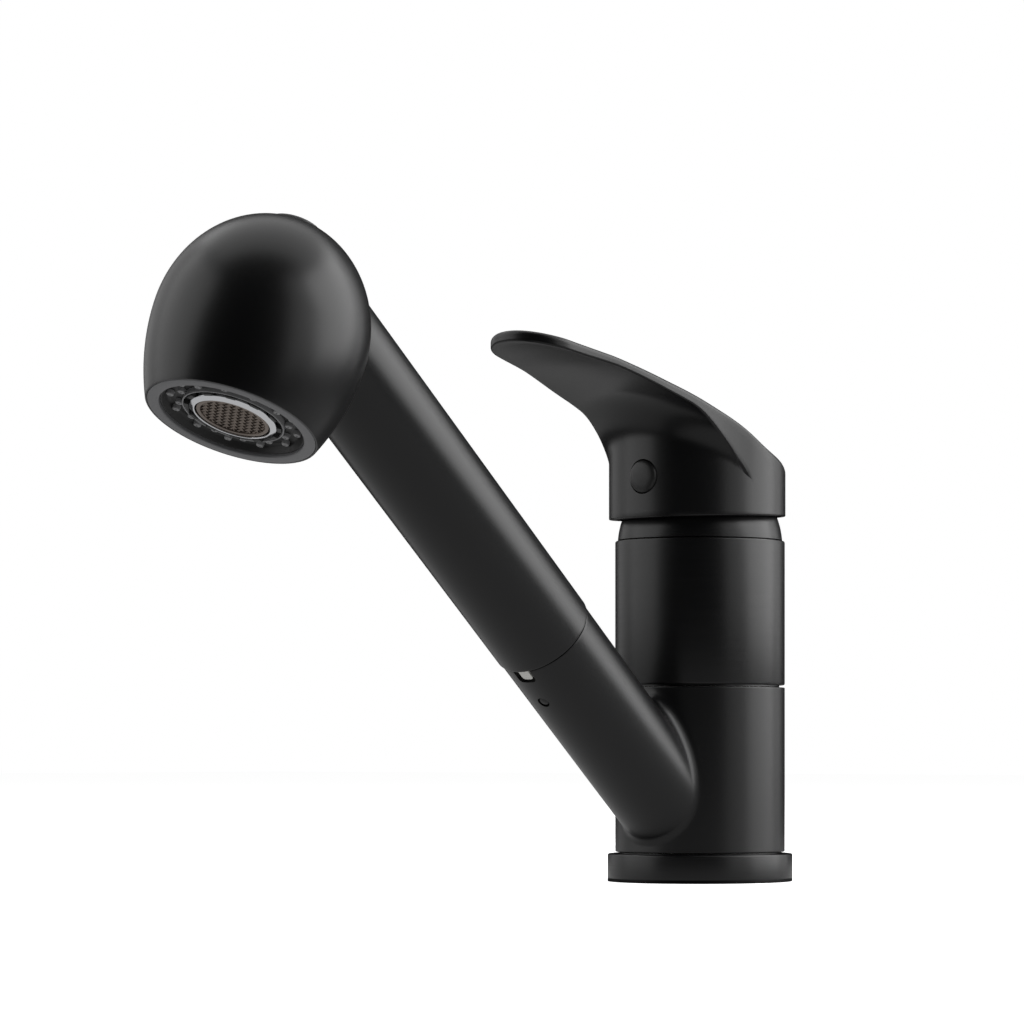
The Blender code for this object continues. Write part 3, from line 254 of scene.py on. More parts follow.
# %% [markdown]
# ## Finishes
# Each finish is a Principled shader whose roughness and bump come from a procedural pattern in object
# coordinates, so that the size of a grain or a scratch is a real size. A helper adds one node with its
# settings and links, and another turns sRGB hex colours into the linear values that shaders take.


# %% Helpers for materials
def linear(hex_colour):
    """sRGB hex to linear: c/12.92 below 0.04045, else ((c+0.055)/1.055)^2.4."""
    values = [int(hex_colour[i : i + 2], 16) / 255 for i in (1, 3, 5)]
    return (*[c / 12.92 if c <= 0.04045 else ((c + 0.055) / 1.055) ** 2.4 for c in values], 1.0)


def add(tree, kind, inputs=None, **settings):
    """Adds a node, makes its settings, and links or sets its inputs."""
    node = tree.nodes.new(kind)
    for name, value in settings.items():
        setattr(node, name, value)
    for name, value in (inputs or {}).items():
        if isinstance(value, bpy.types.NodeSocket):
            tree.links.new(value, node.inputs[name])
        else:
            node.inputs[name].default_value = value
    return node


MATERIALS = {}


def finish(name, dark, light, roughness, grain, bump, stretch=(1, 1, 1), **shader_inputs):
    """A finish whose colour and roughness move between two values over grains of a real size in mm.

    stretch makes the grains longer along an axis, as brushing does. bump is their height in mm.
    """
    material = bpy.data.materials.new(name)
    material.use_nodes = True
    tree = material.node_tree
    shader = tree.nodes["Principled BSDF"]
    place = add(tree, "ShaderNodeTexCoord")
    scale = tuple(1 / (grain * MM * s) for s in stretch)
    mapping = add(tree, "ShaderNodeMapping", {"Vector": place.outputs["Object"], "Scale": scale})
    noise_inputs = {"Vector": mapping.outputs["Vector"], "Scale": 1.0, "Detail": 3.0, "Roughness": 0.6}
    noise = add(tree, "ShaderNodeTexNoise", noise_inputs)
    cloud_inputs = {"Vector": place.outputs["Object"], "Scale": 1 / (18 * MM), "Detail": 2.0}
    clouds = add(tree, "ShaderNodeTexNoise", cloud_inputs)
    colour_inputs = {0: clouds.outputs["Fac"], 6: linear(dark), 7: linear(light)}
    colour = add(tree, "ShaderNodeMix", colour_inputs, data_type="RGBA")
    rough_inputs = {"Value": noise.outputs["Fac"], "From Min": 0.3, "From Max": 0.7}
    rough_inputs |= {"To Min": roughness[0], "To Max": roughness[1]}
    rough = add(tree, "ShaderNodeMapRange", rough_inputs)
    bump_inputs = {"Height": noise.outputs["Fac"], "Strength": 1.0, "Distance": bump * MM}
    surface = add(tree, "ShaderNodeBump", bump_inputs)
    tree.links.new(colour.outputs[2], shader.inputs["Base Color"])
    tree.links.new(rough.outputs["Result"], shader.inputs["Roughness"])
    tree.links.new(surface.outputs["Normal"], shader.inputs["Normal"])
    for socket, value in shader_inputs.items():
        shader.inputs[socket.replace("_", " ")].default_value = value
    MATERIALS[name] = material
    print(f"finish {name}: grain {grain} mm, roughness {roughness[0]} to {roughness[1]}")
    return material


# %% [markdown]
# The black on the castings is a baked powder coat over brass and zinc. Its grain is finer than 0.2 mm
# and wouldn't show, so it is drawn at 0.6 mm. Foot, upper body and collar keep faint turning lines
# under the coat.

# %% Black finishes
# powder coat: nearly black, a broad dull highlight
finish("matte_black", "#0b0b0c", "#0f0f10", (0.30, 0.35), 0.6, 0.006, IOR=1.42)
# powder coat over turned brass: the same, with faint lines round the axis
finish("turned_black", "#0b0b0c", "#0f0f10", (0.28, 0.35), 0.35, 0.01, (40, 40, 1), IOR=1.42)
# painted ABS of the spray: the same sheen on a finer grain
finish("coated_plastic", "#0b0b0c", "#0f0f10", (0.30, 0.35), 0.5, 0.004, IOR=1.42)
# moulded ABS of button, plug and dish: a little lighter and flatter
finish("black_plastic", "#121212", "#181818", (0.42, 0.55), 0.4, 0.01, IOR=1.48)
# nitrile rubber of the seals: no highlight
finish("black_rubber", "#0d0d0d", "#141414", (0.7, 0.85), 0.5, 0.03, IOR=1.5)

# %% [markdown]
# The spray face is grey ABS with grey silicone nozzles. What holds the aerator is chromed, and the
# mesh in it is fine stainless wire, browned by water. Inside are natural acetal, brass, steel and
# alumina.

# %% Greys, metals and the rest
# ABS of the spray's rim: an even mid grey round the face
finish("grey_plastic", "#68686a", "#707072", (0.42, 0.52), 0.5, 0.008, IOR=1.5)
# silicone of the nozzles: lighter dots in the dark dish
finish("grey_silicone", "#8d8d8e", "#989899", (0.5, 0.62), 0.3, 0.01, IOR=1.42)
# acetal of the sleeve: nearly white, a light fleck in the notch
finish("light_plastic", "#cfcfca", "#dadad6", (0.4, 0.5), 0.5, 0.008, IOR=1.48)
# chromed brass round the mesh: the one bright line of the face
finish("chrome", "#d8d9dc", "#e4e5e8", (0.08, 0.2), 0.4, 0.002, (1, 1, 6), Metallic=1.0)
# turned stainless steel: grey, with lines round the axis
finish("steel", "#8f8c88", "#a9a6a2", (0.3, 0.45), 0.3, 0.004, (8, 8, 1), Metallic=1.0)
# stainless wire, browned: warm and dull next to the chrome
finish("mesh_wire", "#776e68", "#91867d", (0.4, 0.55), 0.3, 0.002, Metallic=1.0)
# turned brass, only inside
finish("brass", "#c9a255", "#d9b468", (0.25, 0.4), 0.3, 0.006, (12, 12, 1), Metallic=1.0)
# alumina of the discs, only inside: white and smooth
finish("ceramic", "#eceae4", "#f6f4ef", (0.2, 0.3), 0.4, 0.002, IOR=1.76)
# nylon round the hose: dark grey and rough, seen when the spray is drawn out
finish("braid", "#3c3d3f", "#5c5d60", (0.55, 0.7), 0.9, 0.05, (1, 1, 1), IOR=1.5)

# %% [markdown]
# The CAD nodes that stay on show, or that only show when the tap comes apart, keep their shapes and
# get the finish that their slot names.

# %% Finishes for the CAD nodes
for row in frame["record"]["subparts"]:
    node = frame["nodes"][row["node"]]
    for index in range(len(node.material_slots)):
        node.material_slots[index].material = MATERIALS[row["material_slot"]]

# %% [markdown]
# ## Foot, upper body and collar
# These are plain turned pieces. Their edges are broken by half a millimetre, which gives the thin
# bright line at each joint. A low lip behind each seam closes the view to the brass inside. The foot
# is hollow below, where its gasket sits.

# %% Foot
EDGE = 0.5
FLANGE_RADIUS, FLANGE_TOP = box_mm("deck_flange")[1][[0, 2]]
SHANK_HOLE, POST_SEAT = 16.8, 18.5
SEAM_LIP, LIP_RISE = 23.4, 0.3
GASKET_OUT, GASKET_IN, GASKET_TOP = 25.3, 21.7, 2.3
foot = ring_of([
    (SHANK_HOLE, FLANGE_TOP, 0),
    (POST_SEAT, FLANGE_TOP, 0),
    (POST_SEAT, FLANGE_TOP + LIP_RISE, 0),
    (SEAM_LIP, FLANGE_TOP + LIP_RISE, 0),
    (SEAM_LIP, FLANGE_TOP, 0),
    (FLANGE_RADIUS, FLANGE_TOP, EDGE),
    (FLANGE_RADIUS, 0, 0.2),
    (GASKET_OUT, 0, 0),
    (GASKET_OUT, GASKET_TOP, 0),
    (GASKET_IN, GASKET_TOP, 0),
    (GASKET_IN, 0, 0),
    (SHANK_HOLE, 0, 0.2),
])
turned("foot", BODY, foot, "mount", "turned_black", ["deck_flange"])

# %% [markdown]
# The upper body is a cup. Its seat holds the cartridge, and its bottom takes the post from below.

# %% Upper body
valve_low, valve_high = box_mm("valve_body")
BODY_RADIUS, VALVE_BOTTOM, VALVE_TOP = valve_high[0], valve_low[2], valve_high[2]
SEAT_RADIUS = 20.4
SEAT_FLOOR = box_mm("cartridge_seal")[0][2] - 0.3
VALVE_LIP, POST_HOLE, POST_NECK, POST_DEPTH = 0.5, 18.3, 14.2, 4.8
upper = rounded([
    (0, SEAT_FLOOR, 0),
    (SEAT_RADIUS, SEAT_FLOOR, 0.3),
    (SEAT_RADIUS, VALVE_TOP, 0.2),
    (BODY_RADIUS, VALVE_TOP, EDGE),
    (BODY_RADIUS, VALVE_BOTTOM, EDGE),
    (SEAM_LIP, VALVE_BOTTOM, 0),
    (SEAM_LIP, VALVE_BOTTOM - VALVE_LIP, 0),
    (POST_HOLE, VALVE_BOTTOM - VALVE_LIP, 0),
    (POST_HOLE, VALVE_BOTTOM + POST_DEPTH, 0),
    (POST_NECK, VALVE_BOTTOM + POST_DEPTH, 0),
    (POST_NECK, VALVE_BOTTOM, 0.2),
    (0, VALVE_BOTTOM, 0),
])
turned("upper_body", BODY, upper, "mount", "turned_black", ["valve_body"])

# %% [markdown]
# The collar is part of a sphere about the lever's pivot, so the lever can tilt over it.


# %% Collar
def sphere_arc(radius, low, high, steps):
    """(radius, height) points on a sphere about the pivot, from height high down to low."""
    angles = np.linspace(math.asin(high / radius), math.asin(low / radius), steps)
    return np.stack([radius * np.cos(angles), PIVOT + radius * np.sin(angles)], axis=1)


DOME_RADIUS, DOME_RISE = 24.3, 9.0
SCREW_RADIUS, NUT_RADIUS, NUT_RISE, TOP_HOLE = 20.1, 17.9, 6.8, 10.2
COLLAR_SEAT = VALVE_TOP + 0.3
dome_bottom = box_mm("dome_collar")[0][2]
dome = sphere_arc(DOME_RADIUS, COLLAR_SEAT - PIVOT, DOME_RISE, 24)
inside = [(SCREW_RADIUS, COLLAR_SEAT), (SCREW_RADIUS, dome_bottom), (NUT_RADIUS, dome_bottom)]
inside += [(NUT_RADIUS, PIVOT + NUT_RISE), (TOP_HOLE, PIVOT + NUT_RISE), (TOP_HOLE, PIVOT + DOME_RISE)]
collar = closed(np.concatenate([dome, inside]))
turned("collar", BODY, collar, "mount", "turned_black", ["dome_collar"])

# %% [markdown]
# ## A tube that grows out of a turned body
# The spout's casting is a cylinder with a slanted tube, and the spray's shell is a bell with one. Both
# are the same problem, so one function solves it. For each line along the tube it finds where the line
# meets the body, then takes a step back along both surfaces and joins the two points with an arc: a
# rolling-ball fillet. Round the foot of the fillet the body's wall is a patch, whose columns run out to
# a rectangle that spans the wall's height. The rest of the wall is a plain lathe grid that starts on
# the rectangle's sides.


# %% Branch of a tube from a turned host
def host_of(axes, profile):
    """A turned wall, its profile listed from the top down, with the distance along it."""
    steps = np.linalg.norm(np.diff(profile, axis=0), axis=1)
    along = np.concatenate([[0], np.cumsum(steps)])
    slope = np.gradient(profile, along, axis=0)
    return {"axes": axes, "profile": profile, "along": along, "slope": slope}


def on_host(host, angle, along):
    """The point of the wall at an angle and at a distance down its profile."""
    radius = np.interp(along, host["along"], host["profile"][:, 0])[..., None]
    height = np.interp(along, host["along"], host["profile"][:, 1])[..., None]
    return host["axes"][0] + radius * outward_of(host["axes"], angle) + height * host["axes"][3]


def crossing(host, tube, radius, angles, outside, inside):
    """How far along the tube each of its lines meets the host, by halving between two distances."""
    origin, axis = host["axes"][0], host["axes"][3]
    outward = outward_of(tube, angles)
    far, near = np.full(len(angles), float(outside)), np.full(len(angles), float(inside))
    profile = host["profile"][::-1]
    for _ in range(40):
        middle = (far + near) / 2
        from_host = tube[0] + radius * outward + middle[:, None] * tube[3] - origin
        height = from_host @ axis
        distance = np.linalg.norm(from_host - height[:, None] * axis, axis=1)
        clear = distance > np.interp(height, profile[:, 1], profile[:, 0])
        far, near = np.where(clear, middle, far), np.where(clear, near, middle)
    return far


def unit(vectors):
    return vectors / np.linalg.norm(vectors, axis=1, keepdims=True)


def facing(vectors, way):
    """The vectors, turned round where they point away from the given way."""
    return vectors * np.sign(way)[:, None]


def wall_frame(host, points):
    """Where points lie on the wall (angle, distance down), its direction down there and its normal."""
    axes = host["axes"]
    from_host = points - axes[0]
    turn = np.arctan2(from_host @ axes[2], from_host @ axes[1])
    down = np.interp(-(from_host @ axes[3]), -host["profile"][:, 1], host["along"])
    slope = [np.interp(down, host["along"], host["slope"][:, k])[:, None] for k in (0, 1)]
    outward = outward_of(axes, turn)
    meridian = unit(slope[0] * outward + slope[1] * axes[3])
    normal = np.cross(meridian, round_of(axes, turn))
    return turn, down, meridian, facing(normal, (normal * outward).sum(1))


def patch_edge(host, foot_turn, foot_down, radius, half_angle):
    """The rectangle round a fillet's foot: each column's angle and distance down, and its low corner.

    The columns nearest in bearing to the rectangle's corners, as seen from the middle of the foot,
    run out to the corners. The others are spread evenly between them.
    """
    half = len(foot_turn) // 2
    side = math.copysign(1, foot_turn[half // 2])
    wall = host["along"][-1]
    centre = foot_down.mean()
    bearing = np.arctan2(foot_down - centre, side * foot_turn * radius)[: half + 1]
    low_corner = math.atan2(wall - centre, half_angle * radius)
    high_corner = math.atan2(-centre, half_angle * radius)
    below = int(np.argmin(np.abs(bearing - low_corner)))
    above = half - int(np.argmin(np.abs(bearing - high_corner)))
    low = (below + above) // 2
    stops = (0, low, half - low, half)
    index = np.arange(half + 1)
    turn = np.interp(index, stops, (0, half_angle, half_angle, 0)) * side
    down = np.interp(index, stops, (wall, wall, 0, 0))
    turn = np.concatenate([turn, -turn[1:-1][::-1]])
    down = np.concatenate([down, down[1:-1][::-1]])
    return turn, down, low, side


def branch(host, tube, radius, outside, inside, fillet, half_angle, run, columns=240, rest=150):
    """Grids of the host's wall, the fillet and the tube, and the angles round the wall's ends.

    run is the tube's (radius, distance) profile after the fillet.
    """
    origin, axis = tube[0], tube[3]
    angles = even_angles(columns)
    outward = outward_of(tube, angles)
    meet = crossing(host, tube, radius, angles, outside, inside)
    corner = origin + radius * outward + meet[:, None] * axis
    turn, down, meridian, normal = wall_frame(host, corner)

    # a step back from the corner over both surfaces, F / tan(half the angle between them)
    tangent = unit(np.roll(corner, -1, axis=0) - np.roll(corner, 1, axis=0))
    over_host = np.cross(normal, tangent)
    over_host = facing(over_host, (over_host * outward).sum(1))
    over_tube = np.cross(outward, tangent)
    over_tube = facing(over_tube, (over_tube @ axis) * (outside - inside))
    half = np.arccos(np.clip((over_host * over_tube).sum(1), -1, 1)) / 2
    reach = (fillet / np.tan(half))[:, None]

    host_radius = np.interp(down, host["along"], host["profile"][:, 0])
    foot_turn = turn + (reach * over_host * round_of(host["axes"], turn)).sum(1) / host_radius
    foot_down = down + (reach * over_host * meridian).sum(1)
    foot = on_host(host, foot_turn, foot_down)
    tube_turn = angles + (reach * over_tube * round_of(tube, angles)).sum(1) / radius
    tube_along = meet + (reach * over_tube) @ axis
    start = origin + radius * outward_of(tube, tube_turn) + tube_along[:, None] * axis

    # the patch of wall round the foot, the fillet, and the tube with its columns turned back to even
    edge = patch_edge(host, foot_turn, foot_down, host_radius.mean(), half_angle)
    edge_turn, edge_down, low, side = edge
    share = np.linspace(0, 1, 16)[:-1, None]
    patch = on_host(host, edge_turn + share * (foot_turn - edge_turn),
                    edge_down + share * (foot_down - edge_down))
    roll = arc_points(foot, corner, start, 10)
    share = np.linspace(0, 1, 14)[1:, None]
    along_tube = tube_along + share * (float(run[0][1]) - tube_along)
    spread = outward_of(tube, tube_turn + share * (angles - tube_turn))
    sleeve = origin + radius * spread + along_tube[..., None] * axis
    skin = np.concatenate([patch, roll, sleeve, lathe(tube, run[1:], angles)])

    # the rest of the wall, and the angles of its end from one side of the patch round to the other
    back = np.linspace(half_angle, 2 * np.pi - half_angle, rest) * side
    turns, downs = np.meshgrid(back, edge_down[low : columns // 2 - low + 1])
    ring = np.concatenate([edge_turn[columns - low :], edge_turn[: low + 1], back[1:-1]])
    return [(skin, True), (on_host(host, turns, downs), False)], ring


# %% [markdown]
# ## Lower body and spout
# One casting: a cylinder that turns on the post, with the socket for the spray growing out of it. Its
# rim has a small notch on the underside, where a lug of the grey liner shows, and a hole for the
# liner's snap.

# %% Lower body and spout
spout_low = box_mm("spout_body")[0][2]
SPOUT_TOP = VALVE_BOTTOM - 0.7
SOCKET_RADIUS, SOCKET_BORE, SOCKET_END, SOCKET_FLOOR, SKIN_FLOOR = 14.3, 12.2, 95.2, 31.0, 46.0
SPOUT_FILLET, SPOUT_PATCH, FILLET_END = 3.4, math.radians(68), 62.0
GLIDE_RADIUS, GLIDE_DEPTH = 22.0, 2.6
wall = np.stack([np.full(120, BODY_RADIUS), np.linspace(SPOUT_TOP - EDGE, spout_low + EDGE, 120)], 1)
socket_run = blind_tube(SOCKET_RADIUS, [FILLET_END], SOCKET_END, SOCKET_BORE, SKIN_FLOOR,
                        (0.35, 0.35, 0.5))
grids, ring = branch(host_of(BODY, wall), SPOUT, SOCKET_RADIUS, outside=80, inside=15,
                     fillet=SPOUT_FILLET, half_angle=SPOUT_PATCH, run=socket_run)
bore = rounded([
    (BODY_RADIUS, SPOUT_TOP - EDGE, 0),
    (BODY_RADIUS, SPOUT_TOP, EDGE),
    (GLIDE_RADIUS, SPOUT_TOP, 0.1),
    (GLIDE_RADIUS, SPOUT_TOP - GLIDE_DEPTH, 0),
    (POST_HOLE, SPOUT_TOP - GLIDE_DEPTH, 0),
    (POST_HOLE, spout_low + GLIDE_DEPTH, 0),
    (GLIDE_RADIUS, spout_low + GLIDE_DEPTH, 0),
    (GLIDE_RADIUS, spout_low, 0.1),
    (BODY_RADIUS, spout_low, EDGE),
    (BODY_RADIUS, spout_low + EDGE, 0),
])
grids.append((lathe(BODY, bore, ring), True))

# %% [markdown]
# The skin above is closed at a floor inside the socket, where no tube crosses another. A stepped cutter
# opens it further down for the hose, and two more cut the notch and the hole.


# %% Cutting shapes out of a mesh
def cut_from(name, mesh, *cutters, sharp=35.0):
    """The mesh less the cutters' volumes, made smooth again but for sharp edges."""
    shape = object_of(name, mesh)
    helpers = [object_of("cutter", cutter) for cutter in cutters]
    for helper in helpers:
        boolean = shape.modifiers.new("cut", "BOOLEAN")
        boolean.operation = "DIFFERENCE"
        boolean.object = helper
    graph = bpy.context.evaluated_depsgraph_get()
    result = bpy.data.meshes.new_from_object(shape.evaluated_get(graph))
    result.name = name
    for helper in (shape, *helpers):
        bpy.data.objects.remove(helper)
    result.shade_smooth()
    result.set_sharp_from_angle(angle=math.radians(sharp))
    return result


def cutter_of(axes, *steps, columns=64):
    """A closed turned cutter, from (radius, height) steps."""
    profile = [(0, steps[0][1]), *steps, (0, steps[-1][1])]
    return mesh_of("cutter", [(lathe(axes, profile, columns=columns), True)])


def moved(axes, out, along):
    """The axes moved outwards along the first vector and along the axis, and turned to point out."""
    origin, first, second, axis = axes
    return origin + out * first + along * axis, second, axis, first


def slab(axes, width, depth, corner, low, high):
    """A closed bar out from the axis, from low to high, with a rounded inner end: the notch's shape."""
    origin, first, second, axis = axes
    turn = np.linspace(0, np.pi / 2, 8)
    arc = np.stack([width / 2 - corner + corner * np.sin(turn),
                    -depth + corner - corner * np.cos(turn)], 1)
    side = np.concatenate([arc, [(width / 2, 2.0)]])
    outline = np.concatenate([side, side[::-1] * (-1, 1)])
    reach = np.array([low, low, high, high])[:, None, None]
    spread = np.array([0, 1, 1, 0])[:, None, None]
    middle = np.array([(0.0, -depth / 2)])
    flat = middle + (outline - middle) * spread
    return origin + reach * first + flat[..., :1] * second + (SOCKET_END + flat[..., 1:]) * axis


# %% Hose passage, notch and snap hole
NOTCH_WIDTH, NOTCH_DEPTH, NOTCH_CORNER, SNAP_PLACE, SNAP_RADIUS = 6.0, 4.3, 1.2, 82.3, 1.8
HOSE_PASSAGE, PASSAGE_START, LINER_RADIUS = 10.0, 8.0, 11.9
CUT_IN, CUT_OUT = 9.0, 18.0
casting = mesh_of("casting", grids)
passage = cutter_of(SPOUT, (HOSE_PASSAGE, PASSAGE_START), (HOSE_PASSAGE, SOCKET_FLOOR),
                    (LINER_RADIUS, SOCKET_FLOOR), (LINER_RADIUS, SKIN_FLOOR + 1))
notch = mesh_of("notch", [(slab(SPOUT, NOTCH_WIDTH, NOTCH_DEPTH, NOTCH_CORNER, CUT_IN, CUT_OUT), True)])
snap = cutter_of(moved(SPOUT, 0, SNAP_PLACE), (SNAP_RADIUS, CUT_IN), (SNAP_RADIUS, CUT_OUT))
spout_mesh = cut_from("spout_casting", casting, passage, notch, snap)
piece("spout_casting", spout_mesh, "spout", "matte_black", ["spout_body"])

# %% [markdown]
# The socket is lined with a grey acetal sleeve. A lug on the sleeve stands in the notch and keeps it
# from turning, and a small black pin holds it.

# %% Sleeve and pin
LINER_BORE, LINER_TOP, LINER_FOOT = 10.7, SOCKET_END - 0.4, SOCKET_END - 32.0
sleeve = ring_of([
    (LINER_RADIUS, LINER_TOP, 0),
    (LINER_RADIUS, LINER_FOOT, 0.2),
    (LINER_BORE, LINER_FOOT, 0.2),
    (LINER_BORE, LINER_TOP, 0.3),
])
LUG_WIDTH, LUG_HEIGHT, LUG_DOWN, LUG_ASIDE = 3.6, 1.3, 2.1, 0.5
lug = slab(SPOUT, LUG_WIDTH, LUG_HEIGHT, 1.0, 11.5, 13.9) - LUG_DOWN * SPOUT[3] + LUG_ASIDE * SPOUT[2]
sleeve_mesh = mesh_of("sleeve", [(lathe(SPOUT, sleeve), True), (lug, True)])
piece("sleeve", sleeve_mesh, "spout", "light_plastic", ["dock_sleeve"])
pin = [(0, 14.25), (0.9, 14.15), (1.35, 13.9), (1.5, 13.5), (1.5, 12.3), (0, 12.3)]
turned("pin", moved(SPOUT, 0, SNAP_PLACE), pin, "spout", "black_plastic", columns=48)

# %% [markdown]
# ## Spray shell
# The bell's side narrows to the rim as a parabola and its top is an ellipse. The handle tube joins it
# with a tight fillet, so a crease shows between them. The top is open for the diverter button.

# %% Bell and handle tube
RIM_RADIUS, BELL_RADIUS, WIDEST, BELL_HEIGHT, BELL_CUT = 22.8, 28.2, 25.5, 57.5, 0.1
RIM_SEAT, RIM_SEAT_TOP = 22.35, 2.0
SHELL_WALL = 2.2
TUBE_RADIUS, TUBE_BORE, TUBE_START, TUBE_END = 14.7, 12.5, 95.5, 219.0
BUTTON_HOLE = 8.0
HANDLE_FILLET, HANDLE_PATCH, HEAD_MIDDLE = 1.2, math.radians(80), 234.0


def bell(radius, rim, height, low, hole, steps):
    """An ellipse from the hole down to the widest point, then radius less a parabola to the rim."""
    start = math.acos(hole / radius)
    angle = np.linspace(start, 0, steps)
    dome = np.stack([radius * np.cos(angle), WIDEST + (height - WIDEST) * np.sin(angle)], 1)
    z = np.linspace(WIDEST, low, steps)[1:]
    side = np.stack([radius - (radius - rim) * ((WIDEST - z) / WIDEST) ** 2, z], 1)
    return np.concatenate([dome, side])


outer_bell = bell(BELL_RADIUS, RIM_RADIUS, BELL_HEIGHT, BELL_CUT + 0.25, BUTTON_HOLE + 0.3, 90)
inner_bell = bell(BELL_RADIUS - SHELL_WALL, RIM_RADIUS - SHELL_WALL, BELL_HEIGHT - SHELL_WALL,
                  RIM_SEAT_TOP, BUTTON_HOLE, 20)
handle_run = blind_tube(TUBE_RADIUS, [150.0, 120.0], TUBE_START, TUBE_BORE, TUBE_END, (0.4, 0.3, 0))
grids, ring = branch(host_of(HEAD, outer_bell), SPOUT, TUBE_RADIUS, outside=140, inside=HEAD_MIDDLE,
                     fillet=HANDLE_FILLET, half_angle=HANDLE_PATCH, run=handle_run)
hole_top, rim = outer_bell[0], outer_bell[-1]
lip_corner = np.array((BUTTON_HOLE, hole_top[1]))
lip = arc_points(hole_top, lip_corner, lip_corner - (0, 0.4), 4)
lip_low = [(RIM_SEAT, RIM_SEAT_TOP), (RIM_SEAT, BELL_CUT + 0.1), (RIM_SEAT + 0.1, BELL_CUT)]
lining = np.concatenate([lip, inner_bell, lip_low, [(rim[0] - 0.15, BELL_CUT), rim]])
grids.append((lathe(HEAD, lining, ring), True))
piece("spray_casing", mesh_of("spray_casing", grids), "spray", "coated_plastic", ["spray_shell"])

# %% [markdown]
# ## Lever
# The lever is one zinc casting: a round hub over the collar, and a blade that grows out of its top
# towards the user. Seen from above its outline is the hub's circle at the back, two long slightly
# bulging sides and a round tip. Each column of the grid starts on the hub's lower rim and goes up its
# wall, out through a fillet along the blade's underside to the outline, over the thin edge, and back
# across the top to a line down the middle. Places are (x, forward), forward from the body's axis, and
# heights are above the pivot.

# %% Curves of the lever
HUB_RADIUS, HUB_FORWARD, RIM_RISE, RIM_TILT = 26.0, 1.35, 8.4, math.radians(1.9)
TIP_RADIUS, TIP_CENTRE, TIP_START = 14.0, 73.3, 76.4
BLADE_START = 8.0
BLADE_TURN = math.asin((BLADE_START - HUB_FORWARD) / HUB_RADIUS)
SIDE = [(BLADE_START, 25.13), (13.5, 23.6), (18.0, 22.55), (23.2, 21.75), (29, 21.0), (35, 20.3)]
SIDE += [(46, 19.15), (57, 17.4), (67, 15.4), (TIP_START, 13.65)]
TOP_LINE = [(-24.65, 12.5), (-22.6, 17.2), (-18, 21.2), (-10, 25.2), (2, 30.2), (11, 35.5)]
TOP_LINE += [(23.7, 40.5), (40, 45.1), (57.4, 49.6), (76.6, 53.9), (87.3, 56.5)]
RAISED = [(-24.65, 0.6), (-18, 1.5), (10, 1.5), (35, 1.8), (60, 1.6), (78, 0.9), (87.3, 0.2)]
THICKNESS = [(10, 3.6), (23, 3.4), (40, 2.9), (58, 2.6), (74, 3.0), (88, 3.3)]


def smooth_curve(knots, at):
    """A cubic through (place, value) knots, its slopes those of a parabola through three knots."""
    place, value = np.array(knots, float).T
    slope = np.gradient(value, place)
    k = np.clip(np.searchsorted(place, at) - 1, 0, len(place) - 2)
    width = place[k + 1] - place[k]
    t = np.clip((at - place[k]) / width, 0, 1)
    start = (1 + 2 * t) * (1 - t) ** 2 * value[k] + t * (1 - t) ** 2 * width * slope[k]
    end = t**2 * (3 - 2 * t) * value[k + 1] + t**2 * (t - 1) * width * slope[k + 1]
    return start + end


def hub_circle(turn):
    """Places (x, forward) on the hub's circle."""
    return np.stack([HUB_RADIUS * np.cos(turn), HUB_FORWARD + HUB_RADIUS * np.sin(turn)], 1)


def lever_outline(count):
    """Places evenly along the outline: hub circle, sides and tip, then mirrored."""
    hub = hub_circle(np.linspace(-np.pi / 2, BLADE_TURN, 200))
    forward = np.linspace(BLADE_START, TIP_START, 300)[1:]
    side = np.stack([smooth_curve(SIDE, forward), forward], 1)
    turn = np.linspace(math.asin((TIP_START - TIP_CENTRE) / TIP_RADIUS), np.pi / 2, 100)[1:]
    tip = np.stack([TIP_RADIUS * np.cos(turn), TIP_CENTRE + TIP_RADIUS * np.sin(turn)], 1)
    half = np.concatenate([hub, side, tip])
    length = np.concatenate([[0], np.cumsum(np.linalg.norm(np.diff(half, axis=0), axis=1))])
    even = np.linspace(0, length[-1], count // 2 + 1)
    half = np.stack([np.interp(even, length, half[:, k]) for k in (0, 1)], 1)
    return np.concatenate([half, half[1:-1][::-1] * (-1, 1)])


outline = lever_outline(320)
print("the lever reaches", outline[:, 1].max().round(1), "mm forward")

# %% Lever surfaces
CROWN, CROWN_WIDTH, UNDER_FILLET, EDGE_TOP, EDGE_LOW, RIM_WALL = 2.3, 21.0, 10.0, 1.3, 0.6, 1.2
CAVITY_GAP, CAVITY_RISE, RIM_ROUNDING = 1.2, 18.2, 0.3
RIDGE_START, RIDGE_END = -6, 72


def top_of(place):
    """Height of the top: its side line, less a crown that grows with the square of x."""
    x, forward = place[..., 0], place[..., 1]
    line = smooth_curve(TOP_LINE, forward) + np.interp(forward, *np.array(RAISED).T)
    return line - CROWN * (x / CROWN_WIDTH) ** 2


def under_of(place):
    """Height of the underside: the top less the blade's thickness and less a fillet at the hub.

    At a distance q out from the hub's wall the fillet of radius F lowers it by
    F - sqrt(F^2 - (F-q)^2). It stays a wall's thickness above the hub's rim.
    """
    x, forward = place[..., 0], place[..., 1]
    out = np.clip(np.hypot(x, forward - HUB_FORWARD) - HUB_RADIUS, 0, UNDER_FILLET)
    fillet = UNDER_FILLET - np.sqrt(np.maximum(UNDER_FILLET**2 - (UNDER_FILLET - out) ** 2, 0))
    blade = top_of(place) - smooth_curve(THICKNESS, forward) - fillet
    return np.maximum(blade, rim_of(forward) + RIM_WALL)


def rim_of(forward):
    """Height of the hub's lower rim: a plane tilted down towards the front."""
    return RIM_RISE - np.tan(RIM_TILT) * forward


def at(place, height):
    return np.stack([place[..., 0], place[..., 1], height], -1)


